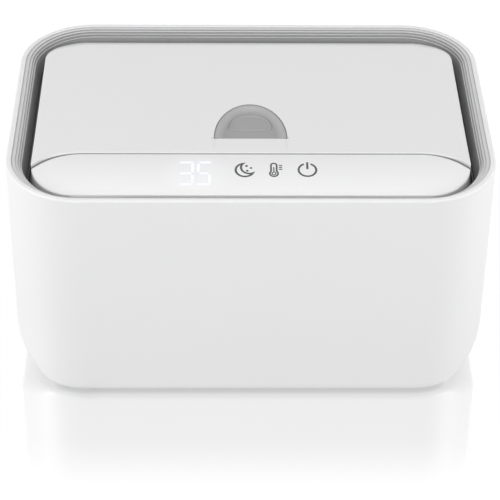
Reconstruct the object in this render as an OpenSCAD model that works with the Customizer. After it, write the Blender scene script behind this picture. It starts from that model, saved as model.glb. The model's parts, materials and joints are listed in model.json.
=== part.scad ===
// Wipe warmer: a rounded tub-shaped housing with a stepped rim, a heated inner tank,
// a hinged lid with a push button and sliding latch, and a fixed touch panel.
// Millimetres. +Z is up, the front is towards -Y, the origin is on the standing
// surface under the centre of the housing.

/* [Housing] */
// Overall width of the housing
body_w = 220; // [198:1:250]
// Overall depth of the housing, front to back
body_d = 152; // [136:1:180]
// Height of the rim above the surface it stands on
body_h = 110; // [99:1:140]
// Plan radius of the four upright corners
corner_r = 34.5; // [32:0.5:38]
// Radius between the side walls and the bottom, seen from the front
bottom_r = 23.5; // [16:0.5:26]
// Wall thickness of the outer shell
shell_wall = 2.5; // [2:0.1:3]
// Thickness of the shell's bottom
shell_floor = 4; // [3.5:0.1:5]

/* [Rim ring] */
// Run of each of the four steps of the ring, outermost first
step_run = [1.7, 1.2, 0.85, 0.8];
// Drop of each of the four steps of the ring, outermost first
step_drop = [0.6, 1, 1.2, 1.25];
// How far the ring's top lies below the rim
ring_sink = 0.6; // [0.3:0.1:1.2]
// Run of the ring's steep inner wall
ring_wall_run = 1.9; // [1:0.1:2.4]
// Height of the lip at the ring's foot above the deck
ring_lip_h = 3; // [2:0.1:4]
// Width of the lip at the ring's foot
ring_lip_w = 0.5; // [0.3:0.1:0.8]

/* [Lid and panel] */
// Distance from the housing's outer face to the lid and panel, seen from above
island_inset = 11.7; // [11.2:0.1:13]
// Plan radius of the lid's and panel's corners
island_r = 18.5; // [16:0.5:19]
// Distance from the housing's front face back to the lid's front edge
panel_depth = 37.5; // [34:0.5:40]
// Distance from the housing's side to where the lid's front edge starts to curve
crease_side = 34; // [30:0.5:40]
// Radius by which the lid's front edge curves forward at both ends
crease_r = 31; // [28:1:36]
// Gap between the lid and the panel
crease_gap = 0.5; // [0.3:0.1:1]
// Slope of the panel towards the front, in degrees
panel_tilt = 10.5; // [6:0.5:14]
// Thickness of the panel's sloping top, measured upright
panel_top = 2.2; // [1.8:0.1:2.4]
// Depth of the deck below the rim
deck_depth = 15; // [14.5:0.1:17]
// Thickness of the deck
deck_t = 2.5; // [2:0.1:3]
// Wall thickness of the lid cover and the panel
cover_wall = 2; // [1.8:0.1:2.4]
// Thickness of the lid cover's top
cover_top = 2.4; // [2:0.1:2.6]
// Radius of the lid's rounded rear edge
rear_r = 7; // [6.5:0.1:7.2]
// Depth of the hinge axis below the rim
hinge_depth = 5; // [5:0.1:5.2]
// Distance of the hinge axis ahead of the centre of the lid's rounded rear edge
hinge_in = 3.3; // [3.2:0.1:3.5]
// Thickness of the lid liner
liner_t = 1.6; // [1.4:0.1:2]

/* [Tank and opening] */
// Distance from the housing's side to the access opening in the deck
opening_side = 19; // [18.5:0.5:30]
// Distance from the lid's front edge back to the access opening
opening_setback = 9.5; // [9:0.5:16]
// Distance from the housing's rear face to the access opening
opening_back = 27.5; // [27.5:0.5:36]
// Corner radius of the access opening
opening_r = 18; // [14:1:20]
// Distance from the housing's side to the inside of the tank
tank_side = 18; // [17.5:0.5:18]
// Distance from the housing's front face to the inside of the tank
tank_front_gap = 22; // [22:0.5:26]
// Distance from the housing's rear face to the inside of the tank
tank_back_gap = 26; // [26:0.5:27]
// Wall thickness of the tank
tank_wall = 2; // [1.6:0.1:2.2]
// Inner corner radius of the tank
tank_r = 18; // [16:1:20]
// Radius between the tank's side walls and its floor
tank_bottom_r = 12; // [6:1:16]
// Width of the tank's flange
flange_w = 4; // [3:0.1:4]

/* [Heater] */
// Bare floor left beside the heat spreader plate at each side of the tank
spreader_side = 17; // [13:0.5:24]
// Bare floor left ahead of and behind the heat spreader plate
spreader_end = 10; // [8:0.5:16]
// Thickness of the heat spreader plate
spreader_t = 1.5; // [1:0.1:2]
// Margin of bare plate around the heating film
film_margin = 5; // [3:0.5:8]
// Thickness of the heating film
film_t = 1; // [0.6:0.1:1.2]
// Thickness of the insulation pad
foam_t = 5.5; // [4:0.5:6]
// Side of the square windows for the two temperature sensors
sensor_window = 14; // [13:0.5:16]

/* [Base] */
// Distance from the housing's side to the base plate
base_side = 28; // [26:0.5:34]
// Distance from the housing's front and rear faces to the base plate
base_end = 8; // [7:0.5:12]
// Width of the ledge that the base plate rests against
base_ledge = 18; // [16:0.5:20]
// Corner radius of the base plate
base_r = 26; // [20:1:30]
// Thickness of the base plate
base_t = 2.5; // [2.2:0.1:2.6]
// Radius of a rubber foot
foot_r = 7; // [5:0.5:8]
// Height by which the feet stand out of the base plate
foot_proud = 1; // [0.8:0.1:2]
// Depth of the pockets that hold the feet
foot_seat = 1.5; // [1:0.1:1.5]

/* [Button and latch] */
// Width of the release button
button_w = 33; // [28:0.5:36]
// Length of the release button, front to back
button_l = 27.8; // [25:0.2:29]
// Distance from the lid's front edge back to the button's straight front edge
button_setback = 12.7; // [12:0.1:14]
// Depth of the button's finger dish
dish_depth = 1.8; // [1.2:0.1:2]
// Travel of the release button, which is also the travel of the latch slider
button_travel = 2; // [1.5:0.1:2]
// Width of the latch slider
slider_w = 14; // [12:0.5:16]

/* [Inlet] */
// Radius of the low-voltage inlet's socket, for a 5.5 mm plug
inlet_r = 2.85; // [2.8:0.01:2.9]
// Radius of the centre pin, for a plug with a 2.1 mm bore
inlet_pin_r = 1.05; // [1:0.01:1.1]
// Depth of the inlet's socket
inlet_depth = 9.5; // [9:0.5:11]
// Distance from the housing's side to the inlet's centre
inlet_side = 52; // [46:1:53]
// Height of the inlet's centre above the standing surface
inlet_z = 24; // [20:1:30]

/* [Clearances] */
// Gap between moulded parts that fit into each other
fit_gap = 0.1; // [0.05:0.01:0.2]
// Gap around the sliding button and latch parts
slide_gap = 0.25; // [0.2:0.01:0.35]
// Radial clearance of the hinge pins in the lid
pin_gap = 0.05; // [0.02:0.01:0.1]
// Gap between the closed lid and what it closes on
close_gap = 0.2; // [0.15:0.01:0.3]

/* [Hidden] */
$fn = 72;
round_fn = 32;
over = 1;

white = "#f0f0f0";
light_grey = "#a8a8a8";
natural = "#e4e2dc";
metal = "#c8cace";
dark = "#3a3a3c";
board_green = "#2c6b45";

// Places measured from the housing's centre
crease_y = body_d/2 - panel_depth;
crease_half = body_w/2 - crease_side;
opening_w = body_w - 2*opening_side;
opening_front = crease_y - opening_setback;
opening_rear = body_d/2 - opening_back;
tank_w = body_w - 2*tank_side;
tank_front = body_d/2 - tank_front_gap;
tank_rear = body_d/2 - tank_back_gap;
spreader_w = tank_w - 2*spreader_side;
spreader_d = tank_front + tank_rear - 2*spreader_end;
base_w = body_w - 2*base_side;
base_d = body_d - 2*base_end;
button_front = crease_y - button_setback;
inlet_x = body_w/2 - inlet_side;

// Heights
shell_z0 = foot_proud;
floor_z = shell_z0 + shell_floor;
deck_z1 = body_h - deck_depth;
deck_z0 = deck_z1 - deck_t;
boss_drop = 2;
post_z = deck_z0 - boss_drop;
gasket_t = 1.5;
tank_z1 = deck_z0 - gasket_t;
flange_t = 2;
support_h = 7;
support_z = floor_z + support_h;
foam_z1 = support_z + foam_t;
film_z1 = foam_z1 + film_t;
tank_z0 = film_z1 + spreader_t;

// Lid heights
rib_h = 1;
rib_w = 1.5;
seal_z0 = deck_z1 + rib_h + close_gap;
seal_t = 2.2;
liner_z0 = seal_z0 + seal_t;
liner_z1 = liner_z0 + liner_t;
skirt_lap = 0.6;
skirt_z0 = liner_z0 + skirt_lap;
ceiling_z = body_h - cover_top;
rear_y = body_d/2 - island_inset - rear_r;
rear_z = body_h - rear_r;
hinge_y = rear_y - hinge_in;
hinge_z = body_h - hinge_depth;
rear_edge_up = 3;
rear_edge_z = rear_z + rear_edge_up;
liner_setback = 3.2;
liner_rear = hinge_y - liner_setback;

// Hinge stations
hinge_side = 48;
hinge_x = body_w/2 - hinge_side;
pin_r = 1;
pin_len = 25;
knuckle_r = 2.3;
knuckle_len = 11;
ear_t = 3;
ear_outer = 23.4;
ear_stem_back = 1.2;
coil_r = 2.2;
coil_wire = 0.9;
pin_head = 0.7;

// Screw places, each as [x, y]
function mirror4(x, y) = [[x, y], [-x, y], [x, -y], [-x, -y]];
post_reach = (corner_r - shell_wall - 4)*cos(45);
post_at = mirror4(body_w/2 - corner_r + post_reach, body_d/2 - corner_r + post_reach);
base_screw_in = [10, 32];
base_screw_at = mirror4(base_w/2 - base_screw_in[0], base_d/2 - base_screw_in[1]);
foot_in = [16, 18];
foot_at = mirror4(base_w/2 - foot_in[0], base_d/2 - foot_in[1]);
support_in = [25, 12];
support_r = 3;
tank_ear_side = 72;
tank_ear_x = body_w/2 - tank_ear_side;
tank_ear_out = 2.4;
tank_ear_at = [
    [tank_ear_x, tank_rear + tank_wall + flange_w + tank_ear_out],
    [-tank_ear_x, tank_rear + tank_wall + flange_w + tank_ear_out],
    [tank_ear_x, -tank_front - tank_wall - flange_w - tank_ear_out],
    [-tank_ear_x, -tank_front - tank_wall - flange_w - tank_ear_out]
];
lid_screw_in = [8, 8, 10.5];
lid_screw_mid = 30;
lid_screw_at = [for (s = [-1, 1], p = [
    [opening_w/2 - lid_screw_in[0], lid_screw_in[1] - opening_front],
    [opening_w/2 - lid_screw_in[0], opening_rear - lid_screw_in[2]],
    [lid_screw_mid, opening_rear - lid_screw_in[2]]]) [s*p[0], p[1]]];
board_w = 124;
board_clear = [4, 1.8];
board_rear = crease_y + board_clear[0];
board_front = body_d/2 - island_inset - cover_wall - board_clear[1];
board_lift = 4;
board_z0 = deck_z1 + board_lift;
board_t = 1.6;
board_screw_in = 6;
board_screw_c = 4;
board_screw_x = board_w/2 - board_screw_in;
board_mid = (board_front + board_rear)/2;

// Screw sizes
screw_r = 1.3;
screw_head_r = 2.4;
screw_head_h = 1.6;
fine_screw_r = 0.9;
fine_head_r = 1.9;
fine_head_h = 1.1;
thread_gap = 0.05;
boss_r = 3.6;
post_r = 4.5;
lid_boss_r = 2.8;
standoff_r = 2.4;
head_seat_gap = 0.2;
deck_screw_len = 12;
base_screw_len = 6.5;
tank_screw_len = 5.2;
board_screw_len = 4.4;
lid_screw_len = 6;
knuckle_web = 3;
cable_gap = 0.8;
plan_gap = 0.4;

// Sensors and heater edges
sensor_x = 20;
spreader_r = 8;
foam_edge = 3;
bead_block = [6, 6, 4];
bead_r = 1.2;
bead_l = 2;
fuse_l = 10;
fuse_r = 2;
fuse_wire_r = 0.5;

// Inlet and power board
inlet_nose_r = 4;
inlet_body_w = 9;
inlet_body_h = 11;
inlet_body_l = 12;
chips = [[-26, 8, 8, 9], [-12, 6, 10, 5], [4, 14, 12, 4], [20, 20, 8, 6]];
capacitor_at = [-22, -8];
capacitor_down = 11;
capacitor_h = 6.5;
capacitor_r = 4;
power_w = 72;
power_h = 40;
power_z0 = 18;
power_back = 14;
power_y = body_d/2 - power_back;
rail_w = 3.5;

// Ribbon cable
ribbon_w = 6;
ribbon_t = 1;
lead_t = 1.6;
lead_out = 4;
ribbon_x = 18;
ribbon_y = -(body_d/2 - island_inset - cover_wall) + 0.3;
ribbon_lift = 2;
ribbon_z = floor_z + ribbon_lift;
ribbon_clear = 3;
ribbon_up = 24;
tab_root = 0.5;
tab_w = 8;
tab_t = 1.2;
tab_side = 62;
tab_in = [1.6, 0.4];
tab_floor = 0.6;

// Release button and latch
button_z = body_h - 0.3;
button_plate_z = ceiling_z - 1.9;
button_flange = 1.2;
button_flange_h = 1.5;
dish_margin = 0.5;
dish_floor = 0.77;
dish_steps = 12;
pad_w = 19;
pad_l = 11.4;
pad_in = 9.2;
pad_front = button_front - pad_in;
relief_depth = 0.5;
pad_ridge = 0.8;
pad_ridge_h = 0.5;
slider_t = 2;
slider_z0 = liner_z1 + close_gap;
slider_z1 = slider_z0 + slider_t;
slider_setback = 4.6;
slider_len = 27.9;
slider_front = crease_y - slider_setback;
slider_rear = slider_front - slider_len;
wedge_setback = 8.8;
wedge_y = wedge_setback - button_front;
wedge_w = 9;
wedge_body = 2.5;
wedge_gap = 0.15;
catch_w = 10;
catch_t = 1.4;
catch_setback = 2.9;
catch_front = crease_y - catch_setback;
catch_foot = 3;
catch_lip = 1.4;
catch_lip_t = 1.6;
spring_r = 2;
spring_wire = 0.5;
spring_seat = 0.6;
button_spring_x = 12;
button_spring_in = 15.8;
button_spring_y = button_spring_in - button_front;
latch_spring_r = 0.95;
latch_spring_len = 7;
stop_wall_y = latch_spring_len - slider_rear;
stop_wall_t = 1.2;
guide_t = 1.5;
guide_in = 3;

// ---- Shared shapes -------------------------------------------------------------

// Rounded rectangle centred on the origin
module plan_rect(w, d, r) {
    square([w - 2*r, d], center = true);
    square([w, d - 2*r], center = true);
    for (sx = [-1, 1], sy = [-1, 1])
        translate([sx*(w/2 - r), sy*(d/2 - r)]) circle(r);
}

// Upright slab with rounded corners, centred at a given depth
module slab(w, d, r, z0, z1, y = 0)
    translate([0, y, z0]) linear_extrude(z1 - z0) plan_rect(w, d, r);

// Closed band between two slabs whose edges lie a width apart
module slab_ring(w, d, r, width, z0, z1, y = 0)
    difference() {
        slab(w, d, r, z0, z1, y);
        slab(w - 2*width, d - 2*width, r - width, z0 - over, z1 + over, y);
    }

// Slab whose long bottom edges at the two sides are rounded, seen from the front
module tub_form(w, d, r, br, z0, z1, y = 0)
    intersection() {
        slab(w, d, r, z0, z1, y);
        translate([0, y, 0]) rotate([90, 0, 0])
            linear_extrude(d + 2*over, center = true) {
                translate([-w/2, z0 + br]) square([w, z1 - z0 - br]);
                translate([-w/2 + br, z0]) square([w - 2*br, z1 - z0]);
                for (s = [-1, 1]) translate([s*(w/2 - br), z0 + br]) circle(br);
            }
    }

// Sweeps an upright profile round the housing's outline; the profile is drawn as
// [inset from the outer face, height]
module sweep_rim() {
    half_w = body_w/2 - corner_r;
    half_d = body_d/2 - corner_r;
    for (k = [0:3])
        translate([[1, -1, -1, 1][k]*half_w, [1, 1, -1, -1][k]*half_d, 0])
            rotate([0, 0, 90*k]) rotate_extrude(angle = 90)
                translate([corner_r, 0]) mirror([1, 0]) children();
    for (s = [0, 180]) rotate([0, 0, s]) {
        rotate([90, 0, 0]) linear_extrude(2*half_d, center = true)
            translate([body_w/2, 0]) mirror([1, 0]) children();
        rotate([90, 0, 90]) linear_extrude(2*half_w, center = true)
            translate([body_d/2, 0]) mirror([1, 0]) children();
    }
}

// Plan of the lid and panel together, drawn in by an inset
module island(inset)
    plan_rect(body_w - 2*(island_inset + inset), body_d - 2*(island_inset + inset),
              island_r - inset);

// Everything ahead of the lid's front edge, drawn in by an inset
module panel_side(inset) {
    arc_y = -crease_y - crease_r;
    translate([-crease_half, -body_d/2]) square([2*crease_half, body_d/2 - crease_y - inset]);
    translate([-body_w/2, -body_d/2]) square([body_w, body_d/2 + arc_y]);
    for (s = [-1, 1]) translate([s*crease_half, arc_y]) circle(crease_r - inset);
}

module lid_plan(inset)
    difference() {
        island(inset);
        panel_side(-inset - crease_gap/2);
    }

module panel_plan(inset)
    intersection() {
        island(inset);
        panel_side(inset + crease_gap/2);
    }

// Half ellipse with its straight side to the front, grown by a margin
function half_ellipse(w, l, grow, y0) = let (n = 48)
    concat([for (i = [1:n - 1]) let (a = 180*i/n)
                [(w/2 + grow)*cos(a), y0 + (l + grow)*sin(a)]],
           [[-w/2 - grow, y0 - grow], [w/2 + grow, y0 - grow]]);

module button_plan(grow)
    polygon(half_ellipse(button_w, button_l, grow, -button_front));

// Pan-head screw pointing up, its head's underside at the origin
module screw(len, r, head_r, head_h)
    difference() {
        union() {
            translate([0, 0, -head_h/2]) cylinder(h = len + head_h/2, r = r, $fn = round_fn);
            translate([0, 0, -head_h]) cylinder(h = head_h, r = head_r, $fn = round_fn);
        }
        for (a = [0, 90]) rotate([0, 0, a])
            translate([-head_r*0.6, -head_h*0.18, -head_h - over])
                cube([head_r*1.2, head_h*0.36, over + head_h/2]);
    }

module screws_up(places, z, len, r, head_r, head_h)
    for (p = places) translate([p[0], p[1], z]) screw(len, r, head_r, head_h);

module screws_down(places, z, len, r, head_r, head_h)
    for (p = places) translate([p[0], p[1], z]) mirror([0, 0, 1]) screw(len, r, head_r, head_h);

module holes(places, r, z0, z1)
    for (p = places) translate([p[0], p[1], z0]) cylinder(h = z1 - z0, r = r);

// ---- Housing and base ----------------------------------------------------------

module outer_shell()
    color(white) difference() {
        tub_form(body_w, body_d, corner_r, bottom_r, shell_z0, body_h);
        difference() {
            tub_form(body_w - 2*shell_wall, body_d - 2*shell_wall, corner_r - shell_wall,
                     bottom_r - shell_wall, floor_z, body_h + over);
            holes(post_at, post_r, shell_z0, post_z);
            holes(base_screw_at, boss_r, shell_z0, support_z - plan_gap);
            for (s = [0, 1]) mirror([s, 0, 0]) board_rail();
        }
        base_recess();
        holes(post_at, screw_r + thread_gap, post_z - deck_screw_len, post_z + over);
        holes(base_screw_at, screw_r + thread_gap, shell_z0, support_z - shell_wall/2);
        translate([inlet_x, body_d/2 - shell_wall - over, inlet_z]) rotate([-90, 0, 0])
            cylinder(h = shell_wall + 2*over, r = inlet_nose_r + fit_gap);
    }

// Grooved upright rail on the rear wall that holds one edge of the power board
module board_rail() {
    x0 = power_w/2 + fit_gap - rail_w/2;
    difference() {
        translate([x0, power_y - rail_w/2, shell_z0])
            cube([rail_w, body_d/2 - power_y + over, power_z0 + power_h - shell_z0]);
        translate([x0 - over, power_y - fit_gap, power_z0])
            cube([rail_w/2 + over, board_t + 2*fit_gap, power_h + over]);
    }
}

module base_recess() {
    slab(base_w + 2*fit_gap, base_d + 2*fit_gap, base_r + fit_gap, shell_z0 - over,
         shell_z0 + base_t);
    slab(base_w - 2*base_ledge, base_d - 2*base_ledge, base_r - base_ledge/3, shell_z0,
         floor_z + over);
}

module base_plate()
    color(natural) difference() {
        union() {
            slab(base_w, base_d, base_r, shell_z0, shell_z0 + base_t);
            for (x = [-1, 0, 1], y = [-1, 1])
                translate([x*(spreader_w/2 - support_in[0]),
                           tank_y + y*(spreader_d/2 - support_in[1]), shell_z0])
                    cylinder(h = support_z - shell_z0, r = support_r, $fn = round_fn);
        }
        holes(base_screw_at, screw_head_r + slide_gap, shell_z0 - over,
              shell_z0 + screw_head_h + head_seat_gap);
        holes(base_screw_at, screw_r + slide_gap, shell_z0, shell_z0 + base_t + over);
        holes(foot_at, foot_r + fit_gap, shell_z0 - over, shell_z0 + foot_seat);
    }

module base_feet()
    color(dark) for (p = foot_at) translate([p[0], p[1], 0])
        rotate_extrude() polygon([
            [0, 0], [foot_r - 0.5, 0], [foot_r, 0.5],
            [foot_r, shell_z0 + foot_seat], [0, shell_z0 + foot_seat]
        ]);

module base_screws()
    color(metal) screws_up(base_screw_at, shell_z0 + screw_head_h + head_seat_gap, base_screw_len,
                           screw_r, screw_head_r, screw_head_h);

// ---- Tank and heater -----------------------------------------------------------

tank_d = tank_front + tank_rear;
tank_y = (tank_rear - tank_front)/2;

module tank_outline(grow, z0, z1)
    slab(tank_w + 2*(tank_wall + grow), tank_d + 2*(tank_wall + grow), tank_r + tank_wall + grow,
         z0, z1, tank_y);

module inner_tank()
    color(natural) difference() {
        union() {
            tub_form(tank_w + 2*tank_wall, tank_d + 2*tank_wall, tank_r + tank_wall,
                     tank_bottom_r + tank_wall, tank_z0, tank_z1, tank_y);
            tank_outline(flange_w, tank_z1 - flange_t, tank_z1);
            holes(tank_ear_at, boss_r, tank_z1 - flange_t, tank_z1);
        }
        tub_form(tank_w, tank_d, tank_r, tank_bottom_r, tank_z0 + tank_wall, tank_z1 + over, tank_y);
        holes(tank_ear_at, screw_r + slide_gap, tank_z1 - flange_t - over, tank_z1 + over);
    }

module tank_gasket()
    color(light_grey) difference() {
        tank_outline(flange_w - 1.5, tank_z1, deck_z0);
        tank_outline(-tank_wall + 0.5, tank_z1 - over, deck_z0 + over);
    }

module tank_screws()
    color(metal) screws_up(tank_ear_at, tank_z1 - flange_t, tank_screw_len, screw_r, screw_head_r,
                           screw_head_h);

module sensor_windows(z0, z1)
    for (s = [-1, 1]) translate([s*sensor_x - sensor_window/2, tank_y - sensor_window/2, z0])
        cube([sensor_window, sensor_window, z1 - z0]);

module heat_spreader()
    color(metal) slab(spreader_w, spreader_d, spreader_r, tank_z0 - spreader_t, tank_z0, tank_y);

module heating_film()
    color("#b5532a") difference() {
        slab(spreader_w - 2*film_margin, spreader_d - 2*film_margin, spreader_r/2, foam_z1, film_z1,
             tank_y);
        sensor_windows(foam_z1 - over, film_z1 + over);
    }

module insulation_pad()
    color("#dcdcd8") difference() {
        slab(spreader_w + 2*foam_edge, spreader_d + 2*foam_edge, spreader_r + foam_edge, support_z,
             foam_z1, tank_y);
        sensor_windows(support_z - over, foam_z1 + over);
    }

// Bead sensor in a small block that touches the spreader plate
module thermistor()
    color(dark) translate([-sensor_x, tank_y, film_z1 - bead_block[2]]) {
        translate([-bead_block[0]/2, -bead_block[1]/2, 0]) cube(bead_block);
        translate([0, 0, -bead_l]) cylinder(h = bead_l + fit_gap, r = bead_r, $fn = round_fn);
    }

module thermal_fuse()
    color(metal) translate([sensor_x, tank_y, film_z1 - fuse_r]) rotate([0, 90, 0]) {
        cylinder(h = fuse_l, r = fuse_r, center = true);
        cylinder(h = sensor_window - 2*slide_gap, r = fuse_wire_r, center = true, $fn = round_fn);
    }

// ---- Power ---------------------------------------------------------------------

module power_board() {
    color(board_green) translate([-power_w/2, power_y, power_z0])
        cube([power_w, board_t, power_h]);
    color(dark) for (c = chips)
        translate([c[0], power_y + board_t, power_z0 + c[1]]) cube([c[2], c[3], c[2]]);
    color(metal) for (x = capacitor_at)
        translate([x, power_y + board_t, power_z0 + power_h - capacitor_down])
            rotate([-90, 0, 0]) cylinder(h = capacitor_h, r = capacitor_r);
}

module dc_inlet()
    color(dark) translate([inlet_x, body_d/2, inlet_z]) {
        difference() {
            union() {
                translate([-inlet_body_w/2, -shell_wall - inlet_body_l, -inlet_body_h/2])
                    cube([inlet_body_w, inlet_body_l, inlet_body_h]);
                rotate([90, 0, 0]) cylinder(h = shell_wall + over, r = inlet_nose_r);
            }
            translate([0, over, 0]) rotate([90, 0, 0])
                cylinder(h = inlet_depth + over, r = inlet_r);
        }
        translate([0, -spring_wire, 0]) rotate([90, 0, 0])
            cylinder(h = inlet_depth, r = inlet_pin_r);
    }

// Flat cable from the touch board, down the front gap, under the heater and up to
// the power board, with the inlet's short lead
module ribbon_cable() {
    y1 = power_y - ribbon_clear;
    color("#8c8c90") {
        translate([ribbon_x, ribbon_y, ribbon_z]) cube([ribbon_w, ribbon_t, board_z0 - ribbon_z]);
        translate([ribbon_x, ribbon_y, ribbon_z]) cube([ribbon_w, y1 - ribbon_y, ribbon_t]);
        translate([ribbon_x, y1 - ribbon_t, ribbon_z]) cube([ribbon_w, ribbon_t, ribbon_up]);
        translate([ribbon_x, y1 - ribbon_t, ribbon_z + ribbon_up - ribbon_t])
            cube([ribbon_w, power_y - y1 + ribbon_t, ribbon_t]);
        translate([ribbon_x, ribbon_y, board_z0 - ribbon_t])
            cube([ribbon_w, ribbon_clear - board_front - ribbon_y, ribbon_t]);
    }
    color("#c0392b") inlet_lead();
}

// Short lead from the inlet, round the board's rail and onto the power board
module inlet_lead() {
    x_out = power_w/2 + rail_w;
    x_in = power_w/2 - rail_w - lead_t;
    translate([0, 0, inlet_z - lead_t/2]) {
        translate([x_out, power_y - lead_t/2, 0])
            cube([inlet_x - inlet_body_w/2 - x_out, lead_t, lead_t]);
        translate([x_out, power_y - lead_out, 0]) cube([lead_t, lead_out + lead_t/2, lead_t]);
        translate([x_in, power_y - lead_out, 0]) cube([x_out - x_in + lead_t, lead_t, lead_t]);
        translate([x_in, power_y - lead_out, 0]) cube([lead_t, lead_out, lead_t]);
    }
}

// ---- Deck and rim --------------------------------------------------------------

opening_d = opening_front + opening_rear;
opening_y = (opening_rear - opening_front)/2;

module opening_outline(grow, z0, z1)
    slab(opening_w + 2*grow, opening_d + 2*grow, opening_r + grow, z0, z1, opening_y);

module top_deck()
    color(white) difference() {
        union() {
            slab(body_w - 2*(shell_wall + 2*fit_gap), body_d - 2*(shell_wall + 2*fit_gap),
                 corner_r - shell_wall - 2*fit_gap, deck_z0, deck_z1);
            opening_outline(rib_w, deck_z0, deck_z1 + rib_h);
            holes(post_at, boss_r, post_z, deck_z1);
            holes(tank_ear_at, boss_r, tank_z1, deck_z1);
            holes(board_standoffs(), standoff_r, deck_z0, board_z0);
            for (s = [0, 1]) mirror([s, 0, 0]) hinge_ears();
        }
        opening_outline(0, deck_z0 - over, deck_z1 + rib_h + over);
        holes(post_at, screw_head_r + slide_gap, deck_z1 - screw_head_h - head_seat_gap, deck_z1 + over);
        holes(post_at, screw_r + slide_gap, post_z - over, deck_z1);
        holes(tank_ear_at, screw_r + thread_gap, tank_z1 - over, deck_z1 - tab_floor);
        holes(board_standoffs(), fine_screw_r + thread_gap, deck_z1 - over, board_z0 + over);
        translate([ribbon_x - cable_gap, ribbon_y - cable_gap, deck_z0 - over])
            cube([ribbon_w + 2*cable_gap, ribbon_t + 2*cable_gap, deck_t + 2*over]);
        panel_tabs(slide_gap);
        hinge_bores(pin_r + fit_gap/2);
    }

function board_standoffs() = [
    [board_screw_x, -board_mid], [-board_screw_x, -board_mid], [board_screw_c, -board_mid]
];

// Two upright ears that carry one hinge pin
module hinge_ears()
    for (x = [hinge_x - ear_outer/2, hinge_x + ear_outer/2 - ear_t])
        translate([x, 0, 0]) {
            translate([0, hinge_y, hinge_z]) rotate([0, 90, 0]) cylinder(h = ear_t, r = knuckle_r);
            translate([0, hinge_y - knuckle_r, deck_z0])
                cube([ear_t, knuckle_r + ear_stem_back, hinge_z - deck_z0]);
        }

module hinge_bores(r)
    for (s = [0, 1]) mirror([s, 0, 0])
        translate([hinge_x - ear_outer/2 - over, hinge_y, hinge_z]) rotate([0, 90, 0])
            cylinder(h = ear_outer + 2*over, r = r);

module deck_screws()
    color(metal) screws_down(post_at, deck_z1 - screw_head_h - head_seat_gap, deck_screw_len, screw_r, screw_head_r,
                             screw_head_h);

function sum_to(list, n) = n == 0 ? 0 : list[n - 1] + sum_to(list, n - 1);

module rim_ring() {
    x0 = shell_wall + fit_gap;
    z1 = body_h - ring_sink;
    n = len(step_run);
    stairs = [for (i = [0:n - 1], k = [0, 1])
        [x0 + sum_to(step_run, i + 1), z1 - sum_to(step_drop, i + k)]];
    foot_x = x0 + sum_to(step_run, n) + ring_wall_run;
    color(light_grey) sweep_rim() polygon(concat(
        [[x0, deck_z1], [x0, z1]],
        stairs,
        [[foot_x, deck_z1 + ring_lip_h], [foot_x + ring_lip_w, deck_z1 + ring_lip_h],
         [foot_x + ring_lip_w, deck_z1]]
    ));
}

// ---- Panel and touch board -----------------------------------------------------

// Solid under the sloping top of the panel, lowered by a given amount
module panel_wedge(lower) {
    run = body_d/2 - crease_y;
    rotate([90, 0, 90]) linear_extrude(body_w, center = true) polygon([
        [-body_d/2, deck_z1 - over], [over - crease_y, deck_z1 - over],
        [over - crease_y, body_h - lower], [-crease_y, body_h - lower],
        [-body_d/2, body_h - lower - run*tan(panel_tilt)]
    ]);
}

module control_panel()
    color(white) {
        difference() {
            intersection() {
                translate([0, 0, deck_z1]) linear_extrude(deck_depth) panel_plan(0);
                panel_wedge(0);
            }
            intersection() {
                translate([0, 0, deck_z1 - over]) linear_extrude(deck_depth) panel_plan(cover_wall);
                panel_wedge(panel_top);
            }
        }
        panel_tabs(0);
    }

// Snap tabs under the panel's front and rear walls
module panel_tabs(grow)
    for (s = [-1, 1],
         y = [crease_y + crease_gap/2 + tab_in[0], body_d/2 - island_inset - tab_in[1]])
        translate([s*(body_w/2 - tab_side) - tab_w/2 - grow, -y - grow,
                   deck_z0 + tab_floor - grow])
            cube([tab_w + 2*grow, tab_t + 2*grow, deck_t - tab_floor + 2*grow + tab_root]);

module control_board()
    color(board_green) difference() {
        translate([-board_w/2, -board_front, board_z0])
            cube([board_w, board_front - board_rear, board_t]);
        holes(board_standoffs(), fine_screw_r + slide_gap, board_z0 - over, board_z0 + board_t + over);
    }

module board_screws()
    color(metal) screws_down(board_standoffs(), board_z0 + board_t, board_screw_len, fine_screw_r,
                             fine_head_r, fine_head_h);

board_z1 = board_z0 + board_t;
display_x = -25.5;
display = [20, 15, 2.6];
touch_at = [-2.6, 10.6, 26];
touch_r = 4;
touch_h = 3;
led_at = [-46, 46, 38];
led = [3.5, 2.8, 1.6];

module led_display()
    color(dark) translate([display_x - display[0]/2, -board_mid - display[1]/2, board_z1])
        cube(display);

module touch_pads()
    color(metal) for (x = touch_at) translate([x, -board_mid, board_z1])
        cylinder(h = touch_h, r = touch_r, $fn = round_fn);

module night_light_leds()
    color("#f4ead0") for (x = led_at) translate([x, -board_mid - led[1]/2, board_z1])
        cube(led);

// ---- Lid -----------------------------------------------------------------------

// Side view of the lid: flat top with a rounded rear edge
module lid_profile(top_z, edge_r, bottom_z, low_z)
    rotate([90, 0, 90]) linear_extrude(body_w, center = true) {
        translate([-body_d/2, bottom_z]) square([body_d/2 + rear_y, top_z - bottom_z]);
        intersection() {
            translate([rear_y, rear_z]) circle(edge_r);
            translate([rear_y - over, low_z]) square([rear_r + 2*over, deck_depth + over]);
        }
    }

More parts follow.
